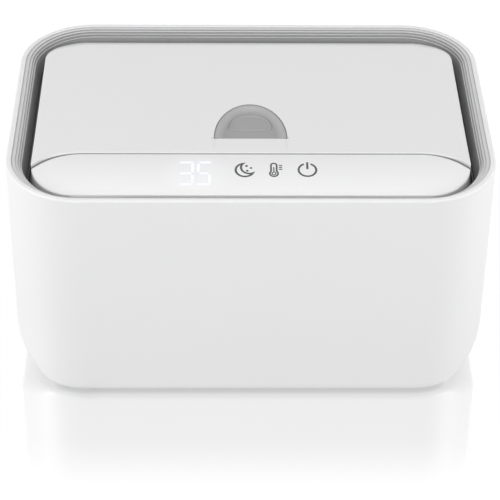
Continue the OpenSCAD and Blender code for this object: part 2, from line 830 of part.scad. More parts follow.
module lid_cover()
    color(white) difference() {
        union() {
            difference() {
                intersection() {
                    translate([0, 0, skirt_z0]) linear_extrude(body_h - skirt_z0) lid_plan(0);
                    lid_profile(body_h, rear_r, skirt_z0, rear_edge_z);
                }
                intersection() {
                    translate([0, 0, skirt_z0 - over]) linear_extrude(deck_depth)
                        lid_plan(cover_wall);
                    lid_profile(ceiling_z, rear_r - cover_top, skirt_z0 - over, skirt_z0 - over);
                }
            }
            holes(lid_screw_at, lid_boss_r, liner_z1, ceiling_z + fit_gap);
            for (s = [0, 1]) mirror([s, 0, 0]) lid_knuckle();
        }
        translate([0, 0, ceiling_z - over]) linear_extrude(cover_top + 2*over)
            button_plan(slide_gap);
        thumb_relief();
        holes(lid_screw_at, fine_screw_r + thread_gap, liner_z1 - over, liner_z1 + 5);
        for (s = [0, 1]) mirror([s, 0, 0])
            translate([knuckle_x() - over, hinge_y, hinge_z]) rotate([0, 90, 0])
                cylinder(h = knuckle_len + 2*over, r = pin_r + pin_gap);
    }

// Shallow slope in the lid's top that leads down into the button
module thumb_relief()
    rotate([90, 0, 90]) linear_extrude(button_w, center = true) polygon([
        [-button_front + over, body_h + over], [-button_front + over, body_h - relief_depth],
        [-button_front, body_h - relief_depth], [-crease_y - over, body_h + 0.1],
        [-crease_y - over, body_h + over]
    ]);

function knuckle_x() = hinge_x + ear_outer/2 - ear_t - slide_gap - knuckle_len;

// Barrel that turns on the hinge pin, hung from the cover's top by a web
module lid_knuckle()
    translate([knuckle_x(), hinge_y, hinge_z]) {
        rotate([0, 90, 0]) cylinder(h = knuckle_len, r = knuckle_r);
        translate([0, -knuckle_web/2, pin_r + pin_gap + fit_gap])
            cube([knuckle_len, knuckle_web, ceiling_z - hinge_z - pin_r - pin_gap]);
    }

module hinge_pins()
    color(metal) for (s = [0, 1]) mirror([s, 0, 0])
        translate([hinge_x - pin_len/2, hinge_y, hinge_z]) rotate([0, 90, 0]) {
            cylinder(h = pin_len, r = pin_r);
            translate([0, 0, pin_len]) cylinder(h = pin_head, r = pin_r + pin_head);
        }

// Torsion springs round the pins, each with one leg down onto the deck
module lid_springs()
    color(metal) for (s = [0, 1]) mirror([s, 0, 0])
        translate([hinge_x - ear_outer/2 + ear_t + slide_gap, hinge_y, hinge_z]) {
            coil_len = knuckle_x() - hinge_x + ear_outer/2 - ear_t - 2*slide_gap;
            difference() {
                rotate([0, 90, 0]) cylinder(h = coil_len, r = coil_r);
                translate([-over, 0, 0]) rotate([0, 90, 0])
                    cylinder(h = coil_len + 2*over, r = coil_r - coil_wire);
            }
            translate([coil_len/2, -coil_r, deck_z1 - hinge_z + fit_gap])
                cube([coil_wire, coil_wire, hinge_z - deck_z1 - fit_gap]);
        }

module lid_liner()
    color(natural) difference() {
        union() {
            intersection() {
                translate([0, 0, liner_z0]) linear_extrude(liner_t) lid_plan(cover_wall + slide_gap);
                translate([-body_w/2, -body_d/2, liner_z0 - over])
                    cube([body_w, body_d/2 + liner_rear, liner_t + 2*over]);
            }
            translate([-slider_w/2, stop_wall_y, liner_z0])
                cube([slider_w, stop_wall_t, slider_z1 - liner_z0]);
            for (s = [-1, 1]) {
                translate([s*(slider_w/2 + slide_gap + guide_t/2) - guide_t/2,
                           guide_in - slider_front, liner_z0])
                    cube([guide_t, slider_len - guide_in, slider_z1 - liner_z0]);
                translate([s*button_spring_x, button_spring_y, liner_z0])
                    cylinder(h = liner_t + guide_t, r = spring_r - 2*spring_wire, $fn = round_fn);
            }
        }
        translate([-catch_w/2 - over, -crease_y - over, liner_z0 - over])
            cube([catch_w + 2*over, crease_y + over - catch_front + catch_t + catch_lip + 2*slide_gap,
                  liner_t + 2*over]);
        holes(lid_screw_at, fine_screw_r + slide_gap, liner_z0 - over, liner_z1 + over);
    }

module lid_seal()
    color(light_grey) difference() {
        opening_outline(2.2, seal_z0, liner_z0);
        opening_outline(-0.7, seal_z0 - over, liner_z0 + over);
    }

module lid_screws()
    color(metal) screws_up(lid_screw_at, liner_z0, lid_screw_len, fine_screw_r, fine_head_r,
                            fine_head_h);

// ---- Button and latch ----------------------------------------------------------

// Slope under the button that pushes the slider back as the button goes down
module wedge_face(y, z_low, z_high, body)
    rotate([90, 0, 90]) linear_extrude(wedge_w, center = true) polygon([
        [y - body, z_low], [y, z_low], [y + z_high - z_low, z_high], [y - body, z_high]
    ]);

module release_button()
    color(light_grey) {
        difference() {
            union() {
                translate([0, 0, button_plate_z])
                    linear_extrude(button_z - button_plate_z) button_plan(0);
                translate([0, 0, button_plate_z])
                    linear_extrude(button_flange_h) button_plan(button_flange);
            }
            button_dish();
            for (s = [-1, 1])
                translate([s*button_spring_x, button_spring_y, button_plate_z - over])
                    cylinder(h = over + spring_seat, r = spring_r + slide_gap);
        }
        pad_outline();
        wedge_face(wedge_y, slider_z1, button_plate_z + fit_gap, wedge_body);
    }

// Dish with a flat floor whose sides rise to the rim of the button; its rim is a half
// ellipse and it runs out through the straight front edge
module button_dish() {
    a = button_w/2 - dish_margin;
    b = button_l - dish_margin;
    axis_h = (a*a*(1 - dish_floor*dish_floor) - dish_depth*dish_depth)/(2*dish_depth);
    front_r = sqrt(axis_h*axis_h + a*a);
    intersection() {
        translate([-button_w/2 - over, -button_front - 2*over, button_z - dish_depth])
            cube([button_w + 2*over, button_l + 3*over, dish_depth + over]);
        translate([0, -button_front, button_z + axis_h]) rotate([-90, 0, 0])
            rotate_extrude() polygon(concat(
                [[0, -3*over], [front_r, -3*over]],
                [for (i = [0:dish_steps]) let (t = 1.04*i/dish_steps)
                    [sqrt(axis_h*axis_h + a*a*(1 - t*t)), b*t]],
                [[0, 1.04*b]]
            ));
    }
}

// Raised outline on the dish floor
module pad_outline()
    translate([0, 0, button_z - dish_depth - fit_gap])
        linear_extrude(pad_ridge_h + fit_gap) difference() {
            polygon(half_ellipse(pad_w, pad_l, 0, -pad_front));
            polygon(half_ellipse(pad_w - 2*pad_ridge, pad_l - 2*pad_ridge, 0,
                                 -pad_front + pad_ridge));
        }

module spring_tube(len, r)
    difference() {
        cylinder(h = len, r = r);
        translate([0, 0, -over]) cylinder(h = len + 2*over, r = r - spring_wire);
    }

module button_springs()
    color(metal) for (s = [-1, 1]) translate([s*button_spring_x, button_spring_y, liner_z1])
        spring_tube(button_plate_z + spring_seat - liner_z1, spring_r);

module latch_slider()
    color(natural) difference() {
        translate([-slider_w/2, -slider_front, slider_z0])
            cube([slider_w, slider_front - slider_rear, slider_t]);
        wedge_window();
    }

// Window through the slider: a sloping rear edge beside the wedge, open in front
module wedge_window()
    rotate([90, 0, 90]) linear_extrude(wedge_w + 2*slide_gap, center = true) polygon([
        [wedge_y - wedge_body - button_travel - 2*slide_gap, slider_z0 - over],
        [wedge_y + wedge_gap - slider_t - over, slider_z0 - over],
        [wedge_y + wedge_gap + over, slider_z1 + over],
        [wedge_y - wedge_body - button_travel - 2*slide_gap, slider_z1 + over]
    ]);

module latch_spring()
    color(metal) translate([0, -slider_rear, slider_z0 + latch_spring_r]) rotate([-90, 0, 0])
        spring_tube(slider_rear + stop_wall_y, latch_spring_r);

// Fixed hook on the deck that the slider's front edge catches under
module latch_catch()
    color(natural) {
        lip_z = slider_z1 + close_gap;
        translate([-catch_w/2, -catch_front, deck_z1])
            cube([catch_w, catch_t, lip_z + catch_lip_t - deck_z1]);
        translate([-catch_w/2, -catch_front, lip_z])
            cube([catch_w, catch_t + catch_lip, catch_lip_t]);
        translate([-catch_w/2 - catch_foot, -catch_front, deck_z1])
            cube([catch_w + 2*catch_foot, catch_t, rib_h]);
    }

// ---- What is drawn -------------------------------------------------------------

outer_shell();
base_plate();
base_feet();
base_screws();
inner_tank();
tank_gasket();
tank_screws();
heat_spreader();
heating_film();
insulation_pad();
thermistor();
thermal_fuse();
power_board();
dc_inlet();
ribbon_cable();
top_deck();
deck_screws();
rim_ring();
control_panel();
control_board();
board_screws();
led_display();
touch_pads();
night_light_leds();
latch_catch();
hinge_pins();
lid_springs();
lid_cover();
lid_liner();
lid_seal();
lid_screws();
release_button();
button_springs();
latch_slider();
latch_spring();
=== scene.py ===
import json
import math

import bmesh
import bpy
from mathutils import Matrix, Vector

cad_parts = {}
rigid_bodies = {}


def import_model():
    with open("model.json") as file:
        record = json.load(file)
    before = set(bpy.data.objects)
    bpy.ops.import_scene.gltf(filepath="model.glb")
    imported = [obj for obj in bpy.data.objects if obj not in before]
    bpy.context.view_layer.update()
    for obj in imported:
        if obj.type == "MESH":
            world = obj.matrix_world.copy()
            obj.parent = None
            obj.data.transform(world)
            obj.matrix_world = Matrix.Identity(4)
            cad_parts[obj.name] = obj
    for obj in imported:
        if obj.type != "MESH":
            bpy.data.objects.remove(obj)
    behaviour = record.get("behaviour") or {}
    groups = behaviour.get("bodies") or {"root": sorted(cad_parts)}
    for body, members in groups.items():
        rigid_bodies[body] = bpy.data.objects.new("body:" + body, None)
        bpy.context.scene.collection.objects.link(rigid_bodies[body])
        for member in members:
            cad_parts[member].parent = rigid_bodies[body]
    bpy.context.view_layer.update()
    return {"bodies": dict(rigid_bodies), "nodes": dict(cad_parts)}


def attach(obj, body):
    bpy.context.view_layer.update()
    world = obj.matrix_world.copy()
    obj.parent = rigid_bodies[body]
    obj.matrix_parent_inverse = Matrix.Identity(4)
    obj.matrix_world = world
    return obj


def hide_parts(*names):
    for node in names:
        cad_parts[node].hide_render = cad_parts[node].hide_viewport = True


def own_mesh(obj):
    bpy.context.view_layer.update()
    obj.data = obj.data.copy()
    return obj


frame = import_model()
nodes = frame["nodes"]
MM = 0.001

# ---- Sizes shared with the construction model (mm) ----

BODY_W, BODY_D, BODY_H = 220.0, 152.0, 110.0
CORNER_R = 34.5  # upright corners of the body
BOTTOM_R = 23.5  # its two long bottom edges
SHELL_WALL = 2.5
SHELL_BOTTOM, SHELL_FLOOR = 1.0, 5.0
DECK_TOP = 95.0
CREASE_Y = -38.5  # the line between the lid and the panel
PANEL_TILT = math.radians(10.5)
BUTTON_FRONT = -25.8
BUTTON_HALF_W, BUTTON_LONG = 16.5, 27.8
BUTTON_TOP, BUTTON_PLATE = 109.7, 105.7
RELIEF_DEPTH = 0.5  # depth at the button of the slope before it
CORNER_STEPS = 24


# ---- Points ----

def arc(cx, cy, r, start, end, steps):
    """Points along an arc about a centre, angles in degrees."""
    return [(cx + r*math.cos(math.radians(start + (end - start)*i/steps)),
             cy + r*math.sin(math.radians(start + (end - start)*i/steps)))
            for i in range(steps + 1)]


def smooth(share):
    """A share from 0 to 1, eased at both ends."""
    return share*share*(3 - 2*share)


# ---- Working in edit mode ----

def only(obj):
    """Makes obj the one selected and active object."""
    bpy.ops.object.select_all(action="DESELECT")
    obj.select_set(True)
    bpy.context.view_layer.objects.active = obj


def edit(obj):
    only(obj)
    bpy.ops.object.mode_set(mode="EDIT")


def finish_edit():
    bpy.ops.object.mode_set(mode="OBJECT")


def close_shape():
    """Turns every face of the mesh outward and leaves edit mode."""
    bpy.ops.mesh.select_all(action="SELECT")
    bpy.ops.mesh.normals_make_consistent(inside=False)
    finish_edit()


def new_shape(primitive, name, place, **settings):
    """A named primitive at a place in mm, left in edit mode with all of it selected."""
    bpy.ops.object.select_all(action="DESELECT")
    primitive(location=[v*MM for v in place], **settings)
    obj = bpy.context.object
    obj.name = obj.data.name = name
    bpy.ops.object.transform_apply(location=True)
    bpy.ops.object.mode_set(mode="EDIT")
    bpy.ops.mesh.select_all(action="SELECT")
    return obj


def pick(obj, kind, test):
    """Selects the faces, edges or verts of the mesh being edited that pass the test."""
    bpy.ops.mesh.select_mode(type=kind[:-1].upper())
    bpy.ops.mesh.select_all(action="DESELECT")
    mesh = bmesh.from_edit_mesh(obj.data)
    for item in getattr(mesh, kind):
        if test(item):
            item.select_set(True)
    mesh.select_flush_mode()
    bmesh.update_edit_mesh(obj.data)


def raise_by(height):
    bpy.ops.mesh.extrude_region_move(TRANSFORM_OT_translate={"value": (0, 0, height*MM)})


def follow(profile):
    """Carries the selected upward face along a profile of (inset, height) points."""
    for (run0, z0), (run1, z1) in zip(profile, profile[1:]):
        if run1 - run0 > 1e-6:
            bpy.ops.mesh.inset(thickness=(run1 - run0)*MM, depth=(z1 - z0)*MM,
                               use_even_offset=True)
        else:
            raise_by(z1 - z0)


def rounded_plate(name, w, d, r, z, steps=CORNER_STEPS):
    """A flat rounded rectangle, left in edit mode with its face selected."""
    obj = new_shape(bpy.ops.mesh.primitive_plane_add, name, (0, 0, z), size=MM)
    bpy.ops.transform.resize(value=(w, d, 1), center_override=(0, 0, z*MM))
    bpy.ops.mesh.bevel(offset=r*MM, offset_type="OFFSET", segments=steps, affect="VERTICES")
    pick(obj, "faces", lambda f: True)
    return obj


def rounded_block(name, w, d, r, z, height):
    """A rounded plate with a thickness, used as a cutter."""
    obj = rounded_plate(name, w, d, r, z)
    raise_by(height)
    finish_edit()
    return obj


def round_bar(name, x, y, z0, z1, r, steps=32):
    """An upright round bar with both ends closed."""
    obj = new_shape(bpy.ops.mesh.primitive_circle_add, name, (x, y, z0), vertices=steps,
                    radius=r*MM, fill_type="NGON")
    raise_by(z1 - z0)
    close_shape()
    return obj


def hollow_post(x, y, z0, z1, r, hole_r, hole_deep):
    """A screw post: a round bar with a blind hole down its middle."""
    post = round_bar("post", x, y, z0, z1, r)
    edit(post)
    pick(post, "faces", lambda f: f.normal.z > 0.9)
    follow([(0, z1), (r - hole_r, z1)])
    raise_by(-hole_deep)
    finish_edit()
    return post


def shift(obj, x, y, z=0.0):
    """Moves a piece by mm and applies the move."""
    only(obj)
    obj.location = (x*MM, y*MM, z*MM)
    bpy.ops.object.transform_apply(location=True)


def apply_modifier(obj, kind, **settings):
    only(obj)
    modifier = obj.modifiers.new(kind.lower(), kind)
    for key, value in settings.items():
        setattr(modifier, key, value)
    bpy.ops.object.modifier_apply(modifier=modifier.name)


def cut(obj, cutter, operation="DIFFERENCE"):
    """Cuts one shape out of a piece, or adds it or keeps what they share, and removes the
    cutter."""
    apply_modifier(obj, "BOOLEAN", operation=operation, solver="EXACT", object=cutter)
    mesh = cutter.data
    bpy.data.objects.remove(cutter)
    bpy.data.meshes.remove(mesh)


def join(first, *others):
    only(first)
    for other in others:
        other.select_set(True)
    bpy.ops.object.join()
    return first


def copied(obj, name, mirror_x=False):
    """A copy with its own mesh, mirrored across the middle if asked."""
    twin = obj.copy()
    twin.data = obj.data.copy()
    twin.name = twin.data.name = name
    bpy.context.collection.objects.link(twin)
    if mirror_x:
        only(twin)
        twin.scale = (-1, 1, 1)
        bpy.ops.object.transform_apply(scale=True)
        edit(twin)
        close_shape()
    return twin


def soften(obj, angle, flat_faces=True):
    """Smooth shading across every edge below the angle, with flat faces kept flat."""
    only(obj)
    bpy.ops.object.shade_smooth_by_angle(angle=math.radians(angle), keep_sharp_edges=True)
    if flat_faces:
        apply_modifier(obj, "WEIGHTED_NORMAL", mode="FACE_AREA", weight=50, keep_sharp=True)


# ---- Nodes of a material ----

def linear(text):
    """An sRGB hex colour as linear values."""
    parts = [int(text[i:i + 2], 16)/255 for i in (1, 3, 5)]
    return tuple(v/12.92 if v <= 0.04045 else ((v + 0.055)/1.055)**2.4 for v in parts) + (1.0,)


def toned(colour, share):
    """A linear colour made darker, or lighter above 1."""
    return tuple(v*share for v in colour[:3]) + (1.0,)


def add(material, kind, settings=(), links=()):
    """Adds one node: settings go to its properties or unlinked inputs, links to its inputs.
    Gives back its outputs."""
    node = material.node_tree.nodes.new("ShaderNode" + kind)
    for key, value in dict(settings).items():
        if isinstance(key, str) and hasattr(node, key):
            setattr(node, key, value)
        else:
            node.inputs[key].default_value = value
    for key, source in dict(links).items():
        material.node_tree.links.new(source, node.inputs[key])
    return node.outputs


def new_material(name):
    """A material with no nodes but one that reads the place on the piece, and its outputs."""
    material = bpy.data.materials.new(name)
    material.use_nodes = True
    material.node_tree.nodes.clear()
    return material, add(material, "TexCoord")


def ramp(material, value, low, high, at_low, at_high, **settings):
    """A value taken from one range to another."""
    return add(material, "MapRange", {"From Min": low, "From Max": high, "To Min": at_low,
                                      "To Max": at_high, **settings},
               {"Value": value})["Result"]


def bump(material, height, strength, depth_mm):
    """The normal of a relief this deep."""
    return add(material, "Bump", {"Strength": strength, "Distance": depth_mm*MM},
               {"Height": height})["Normal"]


def noise(material, place, size_mm, detail=1.0, roughness=0.5):
    """A cloudy pattern of about this size."""
    return add(material, "TexNoise", {"Scale": 1/(size_mm*MM), "Detail": detail,
                                      "Roughness": roughness}, {"Vector": place["Object"]})["Fac"]


def vector(material, operation, first, second=(0, 0, 0)):
    """One step of work on a vector, which gives a vector or its length."""
    return add(material, "VectorMath", {"operation": operation, 1: second},
               {0: first})["Value" if operation == "LENGTH" else "Vector"]


def blend(material, share, first, second):
    """A colour that goes from the first to the second with the share."""
    return add(material, "Mix", {"data_type": "RGBA", 6: first, 7: second},
               {"Factor": share})[2]


def darken(material, colour, *by):
    """A colour darkened by a ramp, whose value and ends follow."""
    return add(material, "Mix", {"data_type": "RGBA", "blend_type": "MULTIPLY", 0: 1.0},
               {6: colour, 7: ramp(material, *by)})[2]


def surfaced(material, settings, links):
    """The material, its output joined to a principled surface."""
    surface = add(material, "BsdfPrincipled", settings, links)
    add(material, "OutputMaterial", (), {"Surface": surface["BSDF"]})
    return material


# ---- Finishes ----

FLOW_MM = 35  # size of the cloud that resin flow leaves
OPEN_LOW, OPEN_HIGH = 0.15, 0.92  # share of open sky, deep in a seam and just outside it
GLOSS_SWING, STREAK_SWING = 0.03, 0.08  # roughness either way, moulded and metal


def moulded(name, colour, roughness, ior, grain_mm, grain_depth_mm, tone_swing=0.02,
            seam_mm=3.0, seam_shade=0.45, depths=(), facings=(), waxy=(0.0, 0.05)):
    """A moulded plastic or rubber: a fine grain from the mould as bump, a slow, cloudy change
    of gloss and tone, such as resin leaves as it flows, and a painted shade that darkens
    seams and corners narrower than seam_mm, where light hardly reaches. Each of the depths
    is (low, high, shade): a painted shade darkens the piece to the shade from the high level
    down to the low one, as light fades into a recess. Each of the facings is (axis, low,
    high, shade, shade): a face gets a painted shade by how far it turns along the axis,
    either way for X. Light goes into a waxy one: the share that does, and how far in metres."""
    material, place = new_material(name)
    grain = noise(material, place, grain_mm, 2.0)
    slow = noise(material, place, FLOW_MM, 1.0, 0.4)
    base = linear(colour)
    base_tone = blend(material, slow, base, toned(base, 1 - tone_swing))
    base_tone.node.name = "tone_swing"
    # painted shade: seams and corners darken where little open sky reaches them
    open_sky = add(material, "AmbientOcclusion", {"samples": 12, "Distance": seam_mm*MM})
    shade = darken(material, base_tone, open_sky["AO"], OPEN_LOW, OPEN_HIGH, seam_shade, 1.0)
    # painted shade: the piece darkens with depth, as light fades into a recess
    if depths:
        level = add(material, "SeparateXYZ", (), {0: place["Object"]})["Z"]
    for low, high, dark in depths:
        shade = darken(material, shade, level, low*MM, high*MM, dark, 1.0)
    if facings:
        # painted shade by the piece's own normal, so that the shade stays with the piece when it
        # turns
        slope = add(material, "SeparateXYZ", (), {0: place["Normal"]})
        across = add(material, "Math", {"operation": "ABSOLUTE"}, {0: slope["X"]})[0]
    for axis, low, high, at_low, at_high in facings:
        turned = across if axis == "X" else slope[axis]
        shade = darken(material, shade, turned, low, high, at_low, at_high)
    # gloss goes a little either way, unclamped so that it leaves no edge
    gloss = ramp(material, slow, 0.0, 1.0, roughness - GLOSS_SWING, roughness + GLOSS_SWING,
                 clamp=False)
    return surfaced(material, {"IOR": ior, "Subsurface Weight": waxy[0],
                               "Subsurface Scale": waxy[1]},
                    {"Base Color": shade, "Roughness": gloss,
                     "Normal": bump(material, grain, 1.0, grain_depth_mm)})


def metal(name, colour, roughness, streak_mm, along):
    """A bare metal with drawing or rolling streaks, streak_mm wide and 40 times as long, along
    the axis that the marks run."""
    material, place = new_material(name)
    stretch = [1/(streak_mm*MM)]*3
    stretch["XYZ".index(along)] /= 40
    lay = add(material, "Mapping", {"Scale": stretch}, {"Vector": place["Object"]})
    streaks = add(material, "TexNoise", {"Scale": 1.0, "Detail": 3.0, "Roughness": 0.6},
                  {"Vector": lay["Vector"]})["Fac"]
    return surfaced(material, {"Base Color": linear(colour), "Metallic": 1.0},
                    {"Roughness": ramp(material, streaks, 0.3, 0.7, roughness - STREAK_SWING,
                                       roughness + STREAK_SWING),
                     "Normal": bump(material, streaks, 0.6, 0.002)})


def lined(name, colour, line_colour, roughness, ior, pitch_mm, line_share, turn, relief_mm):
    """A face with parallel lines across it, such as flat cable or an etched heater track."""
    material, place = new_material(name)
    lay = add(material, "Mapping", {"Rotation": turn, "Scale": (1/(pitch_mm*MM),)*3},
              {"Vector": place["Object"]})
    across = add(material, "SeparateXYZ", (), {"Vector": lay["Vector"]})["X"]
    saw = add(material, "Math", {"operation": "FRACT"}, {0: across})[0]
    line = add(material, "Math", {"operation": "LESS_THAN", 1: line_share}, {0: saw})[0]
    shade = blend(material, line, linear(colour), linear(line_colour))
    return surfaced(material, {"Roughness": roughness, "IOR": ior},
                    {"Base Color": shade, "Normal": bump(material, line, 0.7, relief_mm)})


def circuit_board():
    """Glass laminate under green solder mask: copper tracks lift the mask and pale it."""
    material, place = new_material("solder_masked_laminate")
    tracks = add(material, "TexBrick", {"Scale": 1/(2.4*MM), "Mortar Size": 0.12,
                                        "Color1": (1, 1, 1, 1), "Color2": (1, 1, 1, 1),
                                        "Mortar": (0, 0, 0, 1)},
                 {"Vector": place["Object"]})["Fac"]
    shade = blend(material, tracks, linear("#1f6b43"), linear("#3d8c5b"))
    return surfaced(material, {"Roughness": 0.28, "IOR": 1.55},
                    {"Base Color": shade, "Normal": bump(material, tracks, 0.6, 0.04)})


def foam():
    """Closed-cell foam: shallow cells about 1.2 mm across in a dull skin."""
    material, place = new_material("closed_cell_foam")
    cells = add(material, "TexVoronoi", {"Scale": 1/(1.2*MM)}, {"Vector": place["Object"]})
    return surfaced(material, {"Base Color": linear("#e3e3df"), "Roughness": 0.8, "IOR": 1.45},
                    {"Normal": bump(material, cells["Distance"], 0.8, 0.15)})


def panel_finish():
    """Smooth ABS over a lit display. The light spreads a little in the resin, so the panel
    is paler round the digits. A painted light makes it lighter from the crease to the front,
    and a painted shade darkens it where it turns to the rear and in its seams."""
    # painted shade in its seams and where it turns to the rear
    material = moulded("smooth_moulded_abs_panel", "#ededee", 0.30, 1.54, 0.6, 0.001, 0.01,
                       seam_mm=2.4, seam_shade=0.2, facings=(("Y", 0.1, 0.7, 1.0, 0.45),))
    tree = material.node_tree
    surface = next(n for n in tree.nodes if n.bl_idname == "ShaderNodeBsdfPrincipled")
    place = add(material, "TexCoord")
    digits_middle, digits_reach = (-24.9*MM, -51.2*MM, 107.6*MM), (13*MM, 11.5*MM, 30*MM)
    centred = vector(material, "SUBTRACT", place["Object"], digits_middle)
    away = vector(material, "LENGTH", vector(material, "DIVIDE", centred, digits_reach))
    glow = ramp(material, away, 0.55, 1.35, 0.035, 0.0, interpolation_type="SMOOTHSTEP")
    surface.inputs["Emission Color"].default_value = linear("#eef2ff")
    tree.links.new(glow, surface.inputs["Emission Strength"])
    # painted light: the tone runs from darker at the crease to lighter at the front
    depth = add(material, "SeparateXYZ", (), {0: place["Object"]})["Y"]
    painted_light_ramp = ramp(material, depth, -40*MM, -62*MM, 0.0, 1.0)
    base_tone = tree.nodes["tone_swing"]
    base_tone.inputs[6].default_value = linear("#e7e7e8")
    base_tone.inputs[7].default_value = linear("#f8f8f8")
    tree.links.new(painted_light_ramp, base_tone.inputs[0])
    return material


def printed(name, colour, roughness):
    """Screen-printed ink: dense, slightly uneven at the size of the mesh threads (0.1 mm,
    drawn at 0.3 mm)."""
    material, place = new_material(name)
    base = linear(colour)
    shade = blend(material, noise(material, place, 0.3), base, toned(base, 1.15))
    return surfaced(material, {"Roughness": roughness, "IOR": 1.5}, {"Base Color": shade})


def lit_digit():
    """Display light seen through thin white resin: bluish white, a little uneven."""
    material, place = new_material("lit_display_white")
    light = ramp(material, noise(material, place, 3), 0.0, 1.0, 0.11, 0.15)
    return surfaced(material, {"Base Color": linear("#f4f6fb"), "Roughness": 0.35, "IOR": 1.54,
                               "Emission Color": linear("#f6f9ff")},
                    {"Emission Strength": light})


# The numbers of a moulded finish are its roughness, its index of refraction, the width and
# the depth of its grain in mm, and the strength of its cloud
# every moulded finish also gets a painted shade in seams and corners narrower than its seam_mm
finishes = {
    # ABS with a satin face from a bead-blasted mould: the grain is about 0.05 mm and is
    # drawn at 0.5 mm, as coarse as it needs to be to break up the highlight
    # painted shade in its seams and corners
    "white_housing": moulded("satin_moulded_abs_tub", "#efeff0", 0.42, 1.54, 0.5, 0.002, 0.012,
                             seam_mm=2.0, seam_shade=0.55),
    # painted shade: darker where the lid rolls over to the rear, and in its seams
    "white_lid": moulded("satin_moulded_abs_lid", "#ebebec", 0.38, 1.54, 0.5, 0.0015, 0.012,
                         seam_mm=1.6, seam_shade=0.3, facings=(("Y", 0.05, 0.65, 1.0, 0.5),)),
    # painted shade: down to 0.05 of its colour in gaps narrower than 12 mm
    "white_deck": moulded("satin_moulded_abs_deck", "#e4e4e4", 0.42, 1.54, 0.5, 0.002,
                          seam_mm=12.0, seam_shade=0.05),
    "white_panel": panel_finish(),
    # the same resin coloured grey through; painted shade darkens its seams, risers and sides, and
    # down its steps and wall
    "grey_ring": moulded("satin_moulded_abs_grey", "#d8d8d9", 0.40, 1.54, 0.5, 0.0015, 0.02,
                         seam_mm=1.3, seam_shade=0.30,
                         facings=(("Z", 0.25, 0.8, 0.64, 1.0), ("X", 0.4, 0.95, 1.0, 0.95)),
                         depths=((103.6, 105.3, 0.75), (97.9, 99.5, 0.15))),
    # soft-feel button, a little duller than the ring; painted shade darkens its seams and the
    # floor of its dish
    "grey_button": moulded("matt_moulded_abs_grey", "#b0b0b1", 0.46, 1.54, 0.4, 0.002, 0.02,
                           seam_mm=2.0, seam_shade=0.3, depths=((107.9, 109.2, 0.82),)),
    # underside with a sparked texture, coarser than the show faces
    "base_plastic": moulded("spark_textured_abs", "#dcdcda", 0.55, 1.54, 0.6, 0.012),
    # polypropylene lets a little light in, so it looks waxy
    "liner_plastic": moulded("smooth_polypropylene", "#e2e2df", 0.35, 1.49, 0.8, 0.001, 0.02,
                             waxy=(0.15, 0.002)),
    "tank_plastic": moulded("natural_polypropylene", "#e4e2dc", 0.32, 1.49, 0.8, 0.001, 0.03,
                            waxy=(0.25, 0.003)),
    # acetal: cream, dense and slippery
    "natural_nylon": moulded("natural_acetal", "#e2dece", 0.30, 1.48, 0.6, 0.001, 0.02,
                             waxy=(0.1, 0.001)),
    # silicone: hardly any grain, a soft even sheen
    "gasket_rubber": moulded("moulded_silicone", "#a5a6a8", 0.62, 1.41, 0.5, 0.003, 0.03),
    # rubber: dull and dark, in a slightly patchy shade
    "feet_rubber": moulded("moulded_rubber", "#36363a", 0.75, 1.52, 0.4, 0.008, 0.08),
    # epoxy round a part on a board: nearly black, with a half sheen
    "component_black": moulded("moulded_epoxy_black", "#28282b", 0.48, 1.55, 0.35, 0.003, 0.06),
    # milky epoxy that spreads the light of an LED
    "led_lens": moulded("diffused_epoxy_lens", "#f3efdd", 0.28, 1.50, 0.5, 0.001, 0.02,
                        waxy=(0.3, 0.001)),
    # zinc plating is bright with a bluish cast; drawn spring wire is darker
    "screw_steel": metal("zinc_plated_steel", "#c3c7cd", 0.32, 0.3, "Z"),
    "spring_steel": metal("drawn_spring_steel", "#a9abb0", 0.30, 0.2, "X"),
    # rolled aluminium sheet: fine marks all one way, drawn at 0.4 mm so that they show
    "spreader_aluminium": metal("rolled_aluminium", "#d3d5d7", 0.36, 0.4, "X"),
    # bronze strip: warm, with fine marks from the rolls
    "pad_copper": metal("tinned_bronze_spring", "#c79a6a", 0.34, 0.2, "Z"),
    # flat cable: the insulation dips between wires, one each millimetre
    "cable_grey": lined("vinyl_flat_cable", "#9b9ca0", "#7f8085", 0.45, 1.53,
                        1.0, 0.22, (0, 0, 0), 0.1),
    # heater film: amber polyimide with the dark etched track showing through
    "film_orange": lined("polyimide_heater_film", "#c9772f", "#8a5a3a", 0.25, 1.70,
                         5.0, 0.5, (0, 0, math.radians(90)), 0.04),
    "board_green": circuit_board(),
    "foam_white": foam(),
}
ink_grey = printed("printed_ink_grey", "#4e4f51", 0.5)
display_light = lit_digit()


# ---- Handing a finished piece over ----

def give(obj, slot, body, *replaced, material=None):
    """Gives a piece its finish, its body and the construction nodes that it stands for."""
    obj.data.materials.clear()
    obj.data.materials.append(material or finishes[slot])
    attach(obj, body)
    if replaced:
        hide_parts(*replaced)


# ---- Tub ----

END_FILLET = 3.0  # the two short bottom edges
LIP_R, LIP_INNER_R = 1.0, 0.3  # outer and inner edge of the lip
BOTTOM_BLEND = 7.0  # how softly the long bottom edges run into the sides
RECESS_W, RECESS_D, RECESS_R, RECESS_DEEP = 164.2, 136.2, 26.1, 2.5  # seat of the base
OPENING_W, OPENING_D, OPENING_R = 128, 100, 8
CUTTER_OVER = 1  # how far a cutter starts below the face it cuts
INLET_X, INLET_Z, INLET_R = 58, 24, 4.1
# the screw posts: bottom, top, radius, and the radius and depth of the hole. The tall ones
# start just inside the wall, where it curves under them
DECK_POST, DECK_POST_IN = (9.5, 90.5, 4.5, 1.35, 12), 4
BASE_POST, BASE_POST_X, BASE_POST_Y = (SHELL_FLOOR - 0.5, 11.6, 3.6, 1.35, 5), 72, 36


